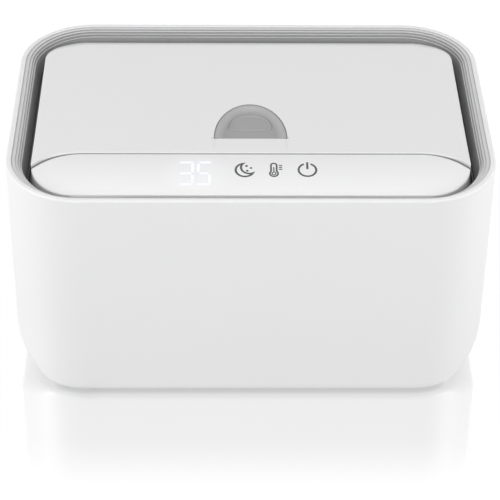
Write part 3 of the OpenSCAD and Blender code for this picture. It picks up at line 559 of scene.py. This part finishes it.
def draw_in(obj, first, z0, r):
    """Rounds the two long bottom edges of the tub, from its first vertex to be moved on, with
    a soft crease into the corners."""
    centre = BODY_W/2 - BOTTOM_R
    for vert in obj.data.vertices[first:]:
        z = vert.co.z/MM
        if z > z0 + r:
            continue
        # how far out the tub reaches at this height
        limit = centre + math.sqrt(max(0.0, r*r - (z0 + r - z)**2))
        x = abs(vert.co.x)/MM
        reach = min(BOTTOM_BLEND, centre + r - limit)
        near = max(reach - abs(x - limit), 0.0)
        x = min(x, limit) - (near*near/(4*reach) if reach > 1e-6 else 0.0)
        vert.co.x = math.copysign(x*MM, vert.co.x)


def tub_levels(z0, r):
    """Heights of the rings that follow the rounded bottom, from the top down."""
    return [z0 + r - r*math.sin(math.radians(6*i)) for i in range(15)]


def make_tub():
    fillet_top = SHELL_BOTTOM + END_FILLET
    levels = tub_levels(SHELL_BOTTOM, BOTTOM_R)
    low = [z for z in levels if z < fillet_top]
    high = sorted(z for z in levels if z >= fillet_top)
    tub = rounded_plate("tub_shell", BODY_W, BODY_D, CORNER_R, high[0])
    follow([(0, z) for z in high])
    pick(tub, "faces", lambda f: len(f.verts) > 4 and f.normal.z < -0.9)
    # this face looks down, so its profile's heights are negative
    under = [(END_FILLET - math.sqrt(END_FILLET**2 - (fillet_top - z)**2), -z) for z in low]
    follow([(0, -high[0])] + under + [(END_FILLET, -SHELL_BOTTOM)])
    finish_edit()
    draw_in(tub, 0, SHELL_BOTTOM, BOTTOM_R)
    outside = len(tub.data.vertices)
    edit(tub)
    pick(tub, "faces", lambda f: len(f.verts) > 4 and f.normal.z > 0.9)
    follow([(0, high[-1])]
           + arc(LIP_R, BODY_H - LIP_R, LIP_R, 180, 90, 4)
           + arc(SHELL_WALL - LIP_INNER_R, BODY_H - LIP_INNER_R, LIP_INNER_R, 90, 0, 3)
           + [(SHELL_WALL, z) for z in tub_levels(SHELL_FLOOR, BOTTOM_R - SHELL_WALL)]
           + [(SHELL_WALL, SHELL_FLOOR)])
    finish_edit()
    draw_in(tub, outside, SHELL_FLOOR, BOTTOM_R - SHELL_WALL)

    under_z = SHELL_BOTTOM - CUTTER_OVER
    cut(tub, rounded_block("base_recess", RECESS_W, RECESS_D, RECESS_R, under_z,
                           RECESS_DEEP + CUTTER_OVER))
    cut(tub, rounded_block("base_opening", OPENING_W, OPENING_D, OPENING_R, under_z, 8))
    inlet = round_bar("inlet_hole", 0, 0, -5, 5, INLET_R)
    only(inlet)
    bpy.ops.transform.rotate(value=math.radians(90), orient_axis="X",
                             center_override=(0, 0, 0))
    inlet.location = (INLET_X*MM, BODY_D/2*MM, INLET_Z*MM)
    bpy.ops.object.transform_apply(location=True, rotation=True)
    cut(tub, inlet)

    posts = []
    reach = (CORNER_R - SHELL_WALL - DECK_POST_IN)*math.cos(math.radians(45))
    for sx in (-1, 1):
        for sy in (-1, 1):
            x = sx*(BODY_W/2 - CORNER_R + reach)
            y = sy*(BODY_D/2 - CORNER_R + reach)
            posts.append(hollow_post(x, y, *DECK_POST))
            posts.append(hollow_post(sx*BASE_POST_X, sy*BASE_POST_Y, *BASE_POST))
    join(tub, *posts)
    soften(tub, 32)
    give(tub, "white_housing", "housing", "outer_shell")


# ---- Grey stepped ring ----

RING_START = SHELL_WALL + 0.1  # its outer face, in from the body's
RING_TOP = BODY_H - 0.6
TREADS = [(1.7, 0.6), (1.2, 1.0), (0.85, 1.2), (0.8, 1.25)]  # (run, drop) from the outside
NOSE_R = 0.25
NOSE_MIDDLE = 0.29  # where a quarter circle's middle lies, as a share of its r
WALL_RUN, FOOT_RUN, FOOT_H = 1.9, 2.4, 3.0
SINK, SINK_FROM, SINK_OVER = 1.3, 54, 17  # how far the steps sink, and between which -Y


def make_ring():
    """The ring between the tub's lip and the lid: four shallow steps, then a wall down to the
    deck. Each step ends in a small rounded nose."""
    run, z = RING_START, RING_TOP
    profile = [(run, DECK_TOP), (run, z)]
    for tread, drop in TREADS:
        run += tread
        profile += [(run - NOSE_R, z), (run - NOSE_R*NOSE_MIDDLE, z - NOSE_R*NOSE_MIDDLE),
                    (run, z - NOSE_R)]
        z -= drop
        profile.append((run, z))
    profile += [(run + WALL_RUN, DECK_TOP + FOOT_H), (run + FOOT_RUN, DECK_TOP + FOOT_H),
                (run + FOOT_RUN, DECK_TOP)]
    ring = rounded_plate("stepped_ring", BODY_W - 2*RING_START, BODY_D - 2*RING_START,
                         CORNER_R - RING_START, DECK_TOP)
    follow(profile)
    pick(ring, "faces", lambda f: len(f.verts) > 4)
    bpy.ops.mesh.delete(type="FACE")
    bpy.ops.mesh.select_mode(type="EDGE")
    bpy.ops.mesh.select_all(action="DESELECT")
    bpy.ops.mesh.select_non_manifold()
    bpy.ops.mesh.bridge_edge_loops()
    finish_edit()
    # the steps sink a little towards the front, behind the tub's lip
    for vert in ring.data.vertices:
        if vert.co.z > (DECK_TOP + FOOT_H + 0.1)*MM:
            share = min(1.0, max(0.0, (-vert.co.y/MM - SINK_FROM)/SINK_OVER))
            vert.co.z -= SINK*smooth(share)*MM
    soften(ring, 28)
    give(ring, "grey_ring", "housing", "rim_ring")


# ---- Lid and panel, dressed from the construction model ----

# Plan of the lid and the panel together: half sizes, corner radius, and the circle that
# the crease between them follows at each end
ISLAND_X, ISLAND_Y, ISLAND_R = 98.3, 64.3, 18.5
CREASE_X, CREASE_R = 76.0, 31.0
HALF_GAP = 0.25  # half the gap at the crease
CORNER_X, CORNER_Y = ISLAND_X - ISLAND_R, ISLAND_Y - ISLAND_R
REAR_RX, REAR_RY = 19.4, 21.0  # the lid's oval rear corners
REAR_X, REAR_Y = ISLAND_X - REAR_RX, ISLAND_Y - REAR_RY
TIP_X, TIP_Y, TIP_REACH = 95.6, -45.2, 6.0  # the lid's two front tips
EDGE_R = 0.9  # the lid's sides and front, and all of the panel's edge
TIP_SHARE = 0.25  # how much of that radius is left at a tip
ROLL_REACH, ROLL_DROP = 10.0, 7.4
FORM_GROW, FORM_RISE = 0.06, 0.004  # what a form adds, so that no face lies in another


def merged_copy(node, name):
    """A copy of a construction node's mesh with its triangles joined into clean faces."""
    obj = bpy.data.objects.new(name, nodes[node].data.copy())
    obj.data.name = name
    bpy.context.collection.objects.link(obj)
    edit(obj)
    bpy.ops.mesh.select_all(action="SELECT")
    bpy.ops.mesh.remove_doubles(threshold=0.002*MM)
    bpy.ops.mesh.dissolve_limited(angle_limit=math.radians(0.5), delimit={"NORMAL"})
    finish_edit()
    return obj


def crease_tip(r):
    """Where the crease's end circle meets the island's front corner: the angle about the
    corner's centre and the angle about the crease's centre."""
    kx, ky = CREASE_X - CORNER_X, CREASE_Y - CREASE_R + CORNER_Y
    apart = math.hypot(kx, ky)
    lean = math.degrees(math.acos((ISLAND_R**2 + apart**2 - r*r)/(2*ISLAND_R*apart)))
    turn = math.degrees(math.atan2(ky, kx)) + lean
    x = ISLAND_R*math.cos(math.radians(turn)) - kx
    y = ISLAND_R*math.sin(math.radians(turn)) - ky
    return turn, math.degrees(math.atan2(y, x))


def both_sides(right):
    """An outline from its right half."""
    return right + [(-x, y) for x, y in reversed(right)]


def lid_outline():
    """The lid's plan, with a few points along its straight sides to keep the faces even."""
    r = CREASE_R + HALF_GAP
    turn, crease_turn = crease_tip(r)
    right = [(x, CREASE_Y + HALF_GAP) for x in (25, 50)]
    right += arc(CREASE_X, CREASE_Y - CREASE_R, r, 90, crease_turn, 14)
    right += arc(CORNER_X, -CORNER_Y, ISLAND_R, turn, 0, 4)[1:]
    right += [(ISLAND_X, y) for y in (-25, 0, 25)]
    right += [(REAR_X + REAR_RX*x, REAR_Y + REAR_RY*y) for x, y in arc(0, 0, 1, 0, 90, 30)]
    right += [(x, ISLAND_Y) for x in (50, 25)]
    return both_sides(right)


def panel_outline():
    """The panel's plan, from the same circles."""
    r = CREASE_R - HALF_GAP
    turn, crease_turn = crease_tip(r)
    right = [(x, -ISLAND_Y) for x in (25, 50)]
    right += arc(CORNER_X, -CORNER_Y, ISLAND_R, -90, turn, 24)
    right += arc(CREASE_X, CREASE_Y - CREASE_R, r, crease_turn, 90, 14)[1:]
    right += [(x, CREASE_Y - HALF_GAP) for x in (50, 25)]
    return both_sides(right)


def inward(outline):
    """For each point, the way that keeps an inset outline parallel to the outline."""
    ways = []
    for i, (x, y) in enumerate(outline):
        sides = []
        for (x0, y0), (x1, y1) in ((outline[i - 1], (x, y)),
                                   ((x, y), outline[(i + 1) % len(outline)])):
            run = math.hypot(x1 - x0, y1 - y0)
            sides.append(((y0 - y1)/run, (x1 - x0)/run))
        (ax, ay), (bx, by) = sides
        even = 1 + ax*bx + ay*by
        ways.append(((ax + bx)/even, (ay + by)/even))
    return ways


def eased_form(name, outline, low, top_at, edge_at, steps=9):
    """A block on an outline, a hair larger than the piece, whose top edge is a quarter oval.
    Its top height and the oval's reach and drop may change from place to place."""
    ways = inward(outline)
    obj = new_shape(bpy.ops.mesh.primitive_circle_add, name, (0, 0, low),
                    vertices=len(outline), radius=50*MM, fill_type="NGON")
    work = bmesh.from_edit_mesh(obj.data)
    number = work.verts.layers.int.new("number")
    for i, vert in enumerate(work.verts):
        vert[number] = i
    for step in range(-1, steps + 1):
        turn = math.radians(90*max(step, 0)/steps)
        if step >= 0:
            raise_by(1)
        work = bmesh.from_edit_mesh(obj.data)
        number = work.verts.layers.int["number"]
        for vert in work.verts:
            if not vert.select:
                continue
            x, y = outline[vert[number]]
            wx, wy = ways[vert[number]]
            reach, drop = edge_at(x, y)
            move = reach*(1 - math.cos(turn)) - FORM_GROW
            x, y = x + move*wx, y + move*wy
            z = low if step < 0 else top_at(x, y) - drop*(1 - math.sin(turn))
            vert.co = (x*MM, y*MM, z*MM)
        bmesh.update_edit_mesh(obj.data)
    close_shape()
    return obj


def lid_edge(x, y):
    """The reach and drop of the lid's edge. It is crisp along the sides and front, crisper
    still at the two tips, and grows round the rear corners into the roll of the rear edge."""
    if y <= REAR_Y:
        r = EDGE_R*min(1.0, max(TIP_SHARE, math.hypot(abs(x) - TIP_X, y - TIP_Y)/TIP_REACH))
        return r, r
    across = abs(x) - REAR_X
    share = 1.0 if across <= 0 else math.atan2(y - REAR_Y, across)/(math.pi/2)
    # the reach grows ahead of the drop, so that the corner turns softly
    return (EDGE_R + (ROLL_REACH - EDGE_R)*smooth(min(1.0, share*1.35)),
            EDGE_R + (ROLL_DROP - EDGE_R)*smooth(share))


def relief_sides():
    """A shallow wedge, wider at its top, that turns the upright sides of the slope before
    the button into soft ramps. Its foot is a hair above the slope, its top above the lid."""
    foot_x, top_x_button, top_x_crease = 16.45, 19.6, 16.9
    wedge = new_shape(bpy.ops.mesh.primitive_cube_add, "relief_wedge", (0, 0, 0), size=2*MM)
    work = bmesh.from_edit_mesh(wedge.data)
    for vert in work.verts:
        side = math.copysign(1, vert.co.x)
        at_button, above = vert.co.y > 0, vert.co.z > 0
        x = foot_x if not above else (top_x_button if at_button else top_x_crease)
        y = BUTTON_FRONT - 0.01 if at_button else CREASE_Y + 1.2
        z = BODY_H + 0.4 if above else (BODY_H - RELIEF_DEPTH + 0.03 if at_button
                                        else BODY_H + 0.03)
        vert.co = (side*x*MM, y*MM, z*MM)
    bmesh.update_edit_mesh(wedge.data)
    finish_edit()
    return wedge


def make_lid():
    lid = merged_copy("lid_cover", "lid_shell")
    cut(lid, eased_form("lid_form", lid_outline(), 95, lambda x, y: BODY_H + FORM_RISE,
                        lid_edge), "INTERSECT")
    cut(lid, relief_sides())
    soften(lid, 28)
    give(lid, "white_lid", "lid", "lid_cover")


def make_panel():
    panel = merged_copy("control_panel", "touch_panel")
    form = eased_form("panel_form", panel_outline(), 85,
                      lambda x, y: BODY_H + FORM_RISE - (CREASE_Y - y)*math.tan(PANEL_TILT),
                      lambda x, y: (EDGE_R, EDGE_R))
    cut(panel, form, "INTERSECT")
    soften(panel, 28)
    give(panel, "white_panel", "housing", "control_panel")


# ---- Push button ----

BUTTON_FLOOR = 107.9  # the lowest level of its dished face
BUTTON_GROW = 0.22  # how much wider it is than its plan, into the lid's hole
RIM_SLOPE = 4.1  # run from the rim to the floor
FLANGE_GROW, FLANGE_H = 1.2, 1.5
THUMB_HALF_W, THUMB_LONG, THUMB_Y = 9.9, 12.6, -17.3
THUMB_POWER = 2.6  # squarer than an oval, whose power is 2
THUMB_CORNER_R = 2.6
THUMB_LOW = 107.85
THUMB_RIDGE = [(0, THUMB_LOW), (0.22, 108.2), (0.42, 108.32), (0.62, 108.32), (0.82, 108.2),
               (1.1, 107.93)]
# the wedge that drives the latch: its middle, its size, and how far its top leans back
WEDGE_Y, WEDGE_Z, WEDGE_SIZE, WEDGE_LEAN = -18.25, 104.0, (9, 2.5, 3.6), 3.6


def half_oval(name, grow, z, steps=64):
    """An open half oval about the middle of the button's straight front edge, being edited
    and selected."""
    obj = new_shape(bpy.ops.mesh.primitive_circle_add, name, (0, BUTTON_FRONT, z),
                    vertices=2*steps, radius=BUTTON_HALF_W*MM, fill_type="NOTHING")
    pick(obj, "verts", lambda v: v.co.y < (BUTTON_FRONT - 0.01)*MM)
    bpy.ops.mesh.delete(type="VERT")
    bpy.ops.mesh.select_all(action="SELECT")
    bpy.ops.transform.resize(value=((BUTTON_HALF_W + grow)/BUTTON_HALF_W,
                                    (BUTTON_LONG + grow)/BUTTON_HALF_W, 1),
                             center_override=(0, BUTTON_FRONT*MM, z*MM))
    return obj


def button_body():
    """A rounded rim that slopes to a dished floor, open at the straight front."""
    drop = BUTTON_TOP - BUTTON_FLOOR
    band = [(BUTTON_GROW, BUTTON_PLATE), (BUTTON_GROW, BUTTON_TOP - 0.35),
            (0.12, BUTTON_TOP - 0.12), (-0.10, BUTTON_TOP - 0.03), (-0.45, BUTTON_TOP)]
    for i in range(1, 13):
        share = i/12
        band.append((-0.45 - RIM_SLOPE*share,
                     BUTTON_TOP - drop*0.5*(1 - math.cos(math.pi*share))))
    button = half_oval("push_button", BUTTON_GROW, BUTTON_PLATE)
    for (grow0, z0), (grow1, z1) in zip(band, band[1:]):
        raise_by(z1 - z0)
        bpy.ops.transform.resize(
            value=((BUTTON_HALF_W + grow1)/(BUTTON_HALF_W + grow0),
                   (BUTTON_LONG + grow1)/(BUTTON_LONG + grow0), 1),
            center_override=(0, BUTTON_FRONT*MM, z1*MM))
    bpy.ops.mesh.edge_face_add()
    pick(button, "verts", lambda v: v.co.z < (BUTTON_PLATE + 0.01)*MM)
    bpy.ops.mesh.edge_face_add()
    pick(button, "edges", lambda e: len(e.link_faces) == 1)
    bpy.ops.mesh.edge_face_add()
    close_shape()
    return button


def thumb_outline():
    """A raised line on the button's floor, round where the thumb pushes."""
    outline = half_oval("thumb_outline", 0.0, THUMB_LOW)
    bpy.ops.transform.resize(value=(1/BUTTON_HALF_W, 1/BUTTON_LONG, 1),
                             center_override=(0, BUTTON_FRONT*MM, THUMB_LOW*MM))
    bpy.ops.mesh.edge_face_add()
    work = bmesh.from_edit_mesh(outline.data)
    for vert in work.verts:
        x, y = vert.co.x/MM, vert.co.y/MM - BUTTON_FRONT
        vert.co.x = math.copysign(min(1.0, abs(x))**(2/THUMB_POWER), x)*THUMB_HALF_W*MM
        vert.co.y = (THUMB_Y + min(1.0, max(0.0, y))**(2/THUMB_POWER)*THUMB_LONG)*MM
    bmesh.update_edit_mesh(outline.data)
    # the two front corners are cleared of points, then rounded
    front, cleared = (THUMB_Y + 0.05)*MM, -14.4*MM
    pick(outline, "verts", lambda v: front < v.co.y < cleared)
    bpy.ops.mesh.dissolve_verts()
    pick(outline, "verts", lambda v: v.co.y < front)
    bpy.ops.mesh.bevel(offset=THUMB_CORNER_R*MM, segments=8, affect="VERTICES")
    pick(outline, "faces", lambda f: True)
    follow(THUMB_RIDGE)
    finish_edit()
    return outline


def make_button():
    button = button_body()
    flange = half_oval("button_flange", FLANGE_GROW, BUTTON_PLATE)
    bpy.ops.mesh.edge_face_add()
    raise_by(FLANGE_H)
    close_shape()
    outline = thumb_outline()
    wedge = new_shape(bpy.ops.mesh.primitive_cube_add, "push_wedge", (0, WEDGE_Y, WEDGE_Z),
                      size=MM)
    bpy.ops.transform.resize(value=WEDGE_SIZE, center_override=(0, WEDGE_Y*MM, WEDGE_Z*MM))
    pick(wedge, "verts", lambda v: v.co.z > WEDGE_Z*MM and v.co.y > WEDGE_Y*MM)
    bpy.ops.transform.translate(value=(0, WEDGE_LEAN*MM, 0))
    finish_edit()
    join(button, flange, outline, wedge)
    soften(button, 35, flat_faces=False)
    give(button, "grey_button", "button", "release_button")


# ---- Springs wound from wire ----

def coil(name, radius, wire, length, turns, axis, start):
    """A helical spring of round wire, from a start point along an axis; radius is to the
    outside of the wire."""
    mean = radius - wire/2
    obj = new_shape(bpy.ops.mesh.primitive_circle_add, name, (0, 0, 0), vertices=10,
                    radius=wire/2*MM, fill_type="NOTHING")
    finish_edit()
    obj.rotation_euler = (math.radians(90), 0, 0) if axis == "Z" else (0, 0, 0)
    obj.location = {"Z": (mean*MM, 0, wire/2*MM), "X": (wire/2*MM, mean*MM, 0),
                    "Y": (mean*MM, wire/2*MM, 0)}[axis]
    bpy.ops.object.transform_apply(location=True, rotation=True)
    apply_modifier(obj, "SCREW", axis=axis, angle=math.radians(360), iterations=turns,
                   screw_offset=(length - wire)/turns*MM, steps=20, render_steps=20)
    edit(obj)
    bpy.ops.mesh.select_all(action="SELECT")
    bpy.ops.mesh.remove_doubles(threshold=0.002*MM)
    bpy.ops.mesh.fill_holes(sides=0)
    close_shape()
    shift(obj, *start)
    return obj


def make_springs():
    coils = coil("button_coils", 2.0, 0.5, 6.3, 6, "Z", (12, -10, 100))
    join(coils, copied(coils, "button_coil_left", mirror_x=True))
    soften(coils, 50)
    give(coils, "spring_steel", "lid", "button_springs")
    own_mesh(coils)

    latch = coil("latch_coil", 0.95, 0.4, 7.0, 9, "Y", (0, -6, 101.15))
    soften(latch, 50)
    give(latch, "spring_steel", "lid", "latch_spring")
    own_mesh(latch)

    hinge = coil("lid_coils", 2.2, 0.9, 5.65, 6, "X", (53.55, 54, 105))
    join(hinge, round_bar("coil_leg", 56.8, 52.25, 95.1, 105.2, 0.45, 10))
    join(hinge, copied(hinge, "lid_coil_left", mirror_x=True))
    soften(hinge, 50)
    give(hinge, "spring_steel", "housing", "lid_springs")


# ---- Marks and lit digits on the panel ----

# The drawings are made 2 mm thick at the origin, seen from above, and laid on the panel
# after; their y is the distance down from the crease, as a negative number
DRAWN = 2.0
MARK_THICK = 0.06
STROKE, FINE_STROKE = 0.92, 0.76
MOON_X, MOON_Y, MOON_R = -2.85, -10.75, 4.55
BITE_X, BITE_Y, BITE_R = -0.75, -9.2, 3.35
DOTS = [(-2.09, -8.23, 0.58), (-0.09, -9.5, 0.52), (-1.76, -11.27, 0.58)]
GAUGE_X, BULB_Y, BULB_R = 10.12, -12.95, 2.2
STEM_Y, STEM_W, STEM_H, STEM_R = -10.2, 3.3, 8.1, 1.6
MERCURY_R, MERCURY_HOLE_R = 1.1, 0.6
TICK_X, TICK_YS, TICK = 13.1, (-7.9, -9.1, -10.3), (1.5, 0.62, 0.15)
POWER_X, POWER_Y, POWER_R = 25.1, -10.7, 4.4
# place down the panel, width, height and corner radius
COLUMN, POWER_GAP = (-10.4, 0.5, 3.0, 0.2), (-6.5, 3.0, 3.4, 0.2)
POWER_STEM = (-8.0, STROKE, 4.4, 0.25)
DIGIT_XS, DIGIT_TOP, DIGIT_MIDDLE, DIGIT_LOW = (-28.7, -21.1), -6.05, -12.9, -19.75
SEGMENT_THICK, SEGMENT_R, DIGIT_ACROSS, DIGIT_DOWN = 1.3, 0.35, 5.1, 6.6
MARK_SINK, DIGIT_SINK = 0.02, 0.03  # how far their backs lie under the panel's face


def bar(name, x, y, w, h, corner, height=DRAWN, steps=4):
    """A thick flat bar centred at a place, its corners rounded."""
    obj = rounded_plate(name, w, h, corner, 0, steps)
    raise_by(height)
    close_shape()
    shift(obj, x, y)
    return obj


def disc(x, y, r, beyond=0):
    """A thick disc, or a cutter that goes beyond the drawing's faces."""
    return round_bar("mark_part", x, y, -beyond, DRAWN + beyond, r, 48)


def lay_on_panel(obj, sink):
    """Flattens a drawing and lays it on the sloping panel."""
    only(obj)
    obj.scale = (1, 1, MARK_THICK/DRAWN)
    bpy.ops.object.transform_apply(scale=True)
    obj.rotation_euler = (PANEL_TILT, 0, 0)
    obj.location = (0, (CREASE_Y + sink*math.sin(PANEL_TILT))*MM,
                    (BODY_H - sink*math.cos(PANEL_TILT))*MM)
    bpy.ops.object.transform_apply(location=True, rotation=True)


def make_marks():
    """Three printed marks: a moon with three dots, a thermometer with scale lines, and a
    power sign."""
    moon = disc(MOON_X, MOON_Y, MOON_R)
    cut(moon, disc(BITE_X, BITE_Y, BITE_R, 1))
    inner = disc(MOON_X, MOON_Y, MOON_R - STROKE, 1)
    cut(inner, disc(BITE_X, BITE_Y, BITE_R + STROKE, 2))
    cut(moon, inner)
    dots = [disc(*dot) for dot in DOTS]

    gauge = disc(GAUGE_X, BULB_Y, BULB_R)
    cut(gauge, bar("stem", GAUGE_X, STEM_Y, STEM_W, STEM_H, STEM_R), "UNION")
    bore = disc(GAUGE_X, BULB_Y, BULB_R - FINE_STROKE, 1)
    cut(bore, bar("stem_bore", GAUGE_X, STEM_Y, STEM_W - 2*FINE_STROKE,
                  STEM_H - 2*FINE_STROKE, STEM_R - FINE_STROKE, 3.0), "UNION")
    cut(gauge, bore)
    mercury = disc(GAUGE_X, BULB_Y, MERCURY_R)
    cut(mercury, disc(GAUGE_X, BULB_Y, MERCURY_HOLE_R, 1))
    column = bar("column", GAUGE_X, *COLUMN)
    ticks = [bar("tick", TICK_X, y, *TICK) for y in TICK_YS]

    power = disc(POWER_X, POWER_Y, POWER_R)
    cut(power, disc(POWER_X, POWER_Y, POWER_R - STROKE, 1))
    gap = bar("gap", POWER_X, *POWER_GAP, 6.0)
    shift(gap, 0, 0, -2)
    cut(power, gap)
    stem = bar("power_stem", POWER_X, *POWER_STEM)
    marks = join(moon, *dots, gauge, mercury, column, *ticks, power, stem)
    marks.name = marks.data.name = "panel_marks"
    lay_on_panel(marks, MARK_SINK)
    give(marks, "grey_button", "housing", material=ink_grey)


def make_digits():
    """Two lit seven-segment digits, three and five."""
    over = SEGMENT_THICK - 0.1  # segments run into each other at their ends
    flat = bar("flat", 0, 0, DIGIT_ACROSS + over, SEGMENT_THICK, SEGMENT_R, steps=3)
    tall = bar("tall", 0, 0, SEGMENT_THICK, DIGIT_DOWN + over, SEGMENT_R, steps=3)
    places = []
    # the lit uprights of each digit: (right or left, upper or lower)
    for x, uprights in zip(DIGIT_XS, (((1, 1), (1, -1)), ((-1, 1), (1, -1)))):
        places += [(flat, x, y) for y in (DIGIT_TOP, DIGIT_MIDDLE, DIGIT_LOW)]
        places += [(tall, x + side*DIGIT_ACROSS/2, DIGIT_MIDDLE + half*DIGIT_DOWN/2)
                   for side, half in uprights]
    parts = []
    for kind, x, y in places:
        parts.append(copied(kind, "lit_segment"))
        shift(parts[-1], x, y)
    for kind in (flat, tall):
        bpy.data.objects.remove(kind)
    digits = join(*parts)
    digits.name = digits.data.name = "lit_digits"
    lay_on_panel(digits, DIGIT_SINK)
    give(digits, "led_lens", "housing", material=display_light)


# ---- The rest of the construction nodes, with their edges eased ----

# edge radii in mm
EASED = {
    "top_deck": 0.25, "inner_tank": 0.3, "base_plate": 0.25, "base_feet": 0.4,
    "lid_liner": 0.15, "lid_seal": 0.3, "tank_gasket": 0.2, "heat_spreader": 0.15,
    "heating_film": 0.1, "insulation_pad": 0.3, "thermistor": 0.2, "thermal_fuse": 0.15,
    "power_board": 0.1, "dc_inlet": 0.15, "ribbon_cable": 0.1, "control_board": 0.1,
    "led_display": 0.15, "touch_pads": 0.15, "night_light_leds": 0.2,
    "latch_catch": 0.2, "latch_slider": 0.2, "hinge_pins": 0.15, "lid_screws": 0.1,
    "board_screws": 0.1, "deck_screws": 0.12, "base_screws": 0.12, "tank_screws": 0.12,
}


def make_rest():
    """Every other node keeps its shape; its sharp edges are eased and its curves shaded
    smooth."""
    carrier = {empty: body for body, empty in frame["bodies"].items()}
    for node, radius in EASED.items():
        piece = merged_copy(node, node + "_finished")
        apply_modifier(piece, "BEVEL", width=radius*MM, segments=2, limit_method="ANGLE",
                       angle_limit=math.radians(40), use_clamp_overlap=True,
                       miter_outer="MITER_SHARP")
        soften(piece, 35)
        slot = nodes[node].data.materials[0].name
        give(piece, slot, carrier[nodes[node].parent], node)


# ---- Floor, light and camera ----

WHITE = (1, 1, 1, 1)
# the floor's mirror: its strength, the half sizes that it is measured from, and how far
# beyond them it starts to fade and is gone
MIRROR, FOOTPRINT, FADE_FROM, FADE_TO = 0.66, (95*MM, 70*MM, 0), 35*MM, 80*MM
SHEET_LIGHT, SHEET_DIM = 1.03, 0.70
ROOM_LIGHT, ROOM_FILL = 0.98, 0.48
AIM_AT = (0, 0, 0.06)
# name, place, side length and power of each soft box, in metres and watts
SOFT_BOXES = (
    ("side_box_left", (-1.05, -0.42, 0.50), 0.5, 5.8),
    ("side_box_right", (1.05, -0.42, 0.50), 0.5, 5.0),
    ("front_box", (0.0, -1.40, 0.60), 1.0, 1.2),
    ("top_box", (0.0, -0.35, 1.30), 0.7, 2.9))
PHOTO_WIDTH, FOCAL_LENGTH = 500, 1937  # pixels
SENSOR_MM = 36.0
CAMERA_AT = (-14.0, -762.1, 597.9)
CAMERA_TURN = (1.116, 36.85, 0.707)  # yaw, pitch down and roll in degrees


def make_floor():
    """A plain white gloss sheet. It mirrors the object only close by, and fades to white. To
    diffuse rays it is an even, dimmer white, which keeps the lower walls from glowing."""
    floor = new_shape(bpy.ops.mesh.primitive_plane_add, "studio_floor", (0, 0, 0), size=12)
    finish_edit()
    material, place = new_material("white_gloss_floor")
    beyond = vector(material, "SUBTRACT", vector(material, "ABSOLUTE", place["Object"]),
                    FOOTPRINT)
    away = vector(material, "LENGTH", vector(material, "MAXIMUM", beyond))
    mirror = ramp(material, away, FADE_FROM, FADE_TO, MIRROR, 0.0,
                  interpolation_type="SMOOTHSTEP")
    sheet = add(material, "Emission", {"Color": WHITE, "Strength": SHEET_LIGHT})
    gloss = add(material, "BsdfGlossy", {"Color": WHITE, "Roughness": 0.06})
    seen = add(material, "MixShader", (), {0: mirror, 1: sheet[0], 2: gloss[0]})
    dim = add(material, "Emission", {"Color": WHITE, "Strength": SHEET_DIM})
    diffuse = add(material, "LightPath")["Is Diffuse Ray"]
    mix = add(material, "MixShader", (), {0: diffuse, 1: seen[0], 2: dim[0]})
    add(material, "OutputMaterial", (), {"Surface": mix[0]})
    floor.data.materials.append(material)


def make_light():
    """A white room with soft boxes above, in front and at both sides. Surfaces see the whole
    room as white in their gloss, but take most of their light from the boxes, so that
    hollows and steps still show."""
    world = bpy.data.worlds.new("white_room")
    world.use_nodes = True
    world.node_tree.nodes.clear()
    diffuse = add(world, "LightPath")["Is Diffuse Ray"]
    room = add(world, "Background", {"Color": WHITE, "Strength": ROOM_LIGHT})
    fill = add(world, "Background", {"Color": WHITE, "Strength": ROOM_FILL})
    mix = add(world, "MixShader", (), {0: diffuse, 1: room[0], 2: fill[0]})
    add(world, "OutputWorld", (), {"Surface": mix[0]})
    bpy.context.scene.world = world
    for name, place, size, power in SOFT_BOXES:
        data = bpy.data.lights.new(name, "AREA")
        data.size = size
        data.energy = power
        lamp = bpy.data.objects.new(name, data)
        bpy.context.collection.objects.link(lamp)
        lamp.location = place
        aim = Vector(AIM_AT) - Vector(place)
        lamp.rotation_euler = aim.to_track_quat("-Z", "Y").to_euler()


def make_camera():
    """The photograph's viewpoint: above the front, a little left, with a long lens."""
    data = bpy.data.cameras.new("photo_camera")
    data.sensor_fit = "HORIZONTAL"
    data.sensor_width = SENSOR_MM
    data.lens = SENSOR_MM*FOCAL_LENGTH/PHOTO_WIDTH
    data.clip_end = 20.0
    yaw, pitch, roll = (math.radians(v) for v in CAMERA_TURN)
    turn = (Matrix.Rotation(-yaw, 4, "Z") @ Matrix.Rotation(math.pi/2 - pitch, 4, "X")
            @ Matrix.Rotation(roll, 4, "Z"))
    camera = bpy.data.objects.new("photo_camera", data)
    bpy.context.collection.objects.link(camera)
    camera.matrix_world = Matrix.Translation(Vector(CAMERA_AT)*MM) @ turn
    bpy.context.scene.camera = camera


make_tub()
make_ring()
make_lid()
make_panel()
make_button()
make_springs()
make_marks()
make_digits()
make_rest()
make_floor()
make_light()
make_camera()
bpy.context.scene.view_settings.view_transform = "Standard"

bpy.ops.object.select_all(action="DESELECT")
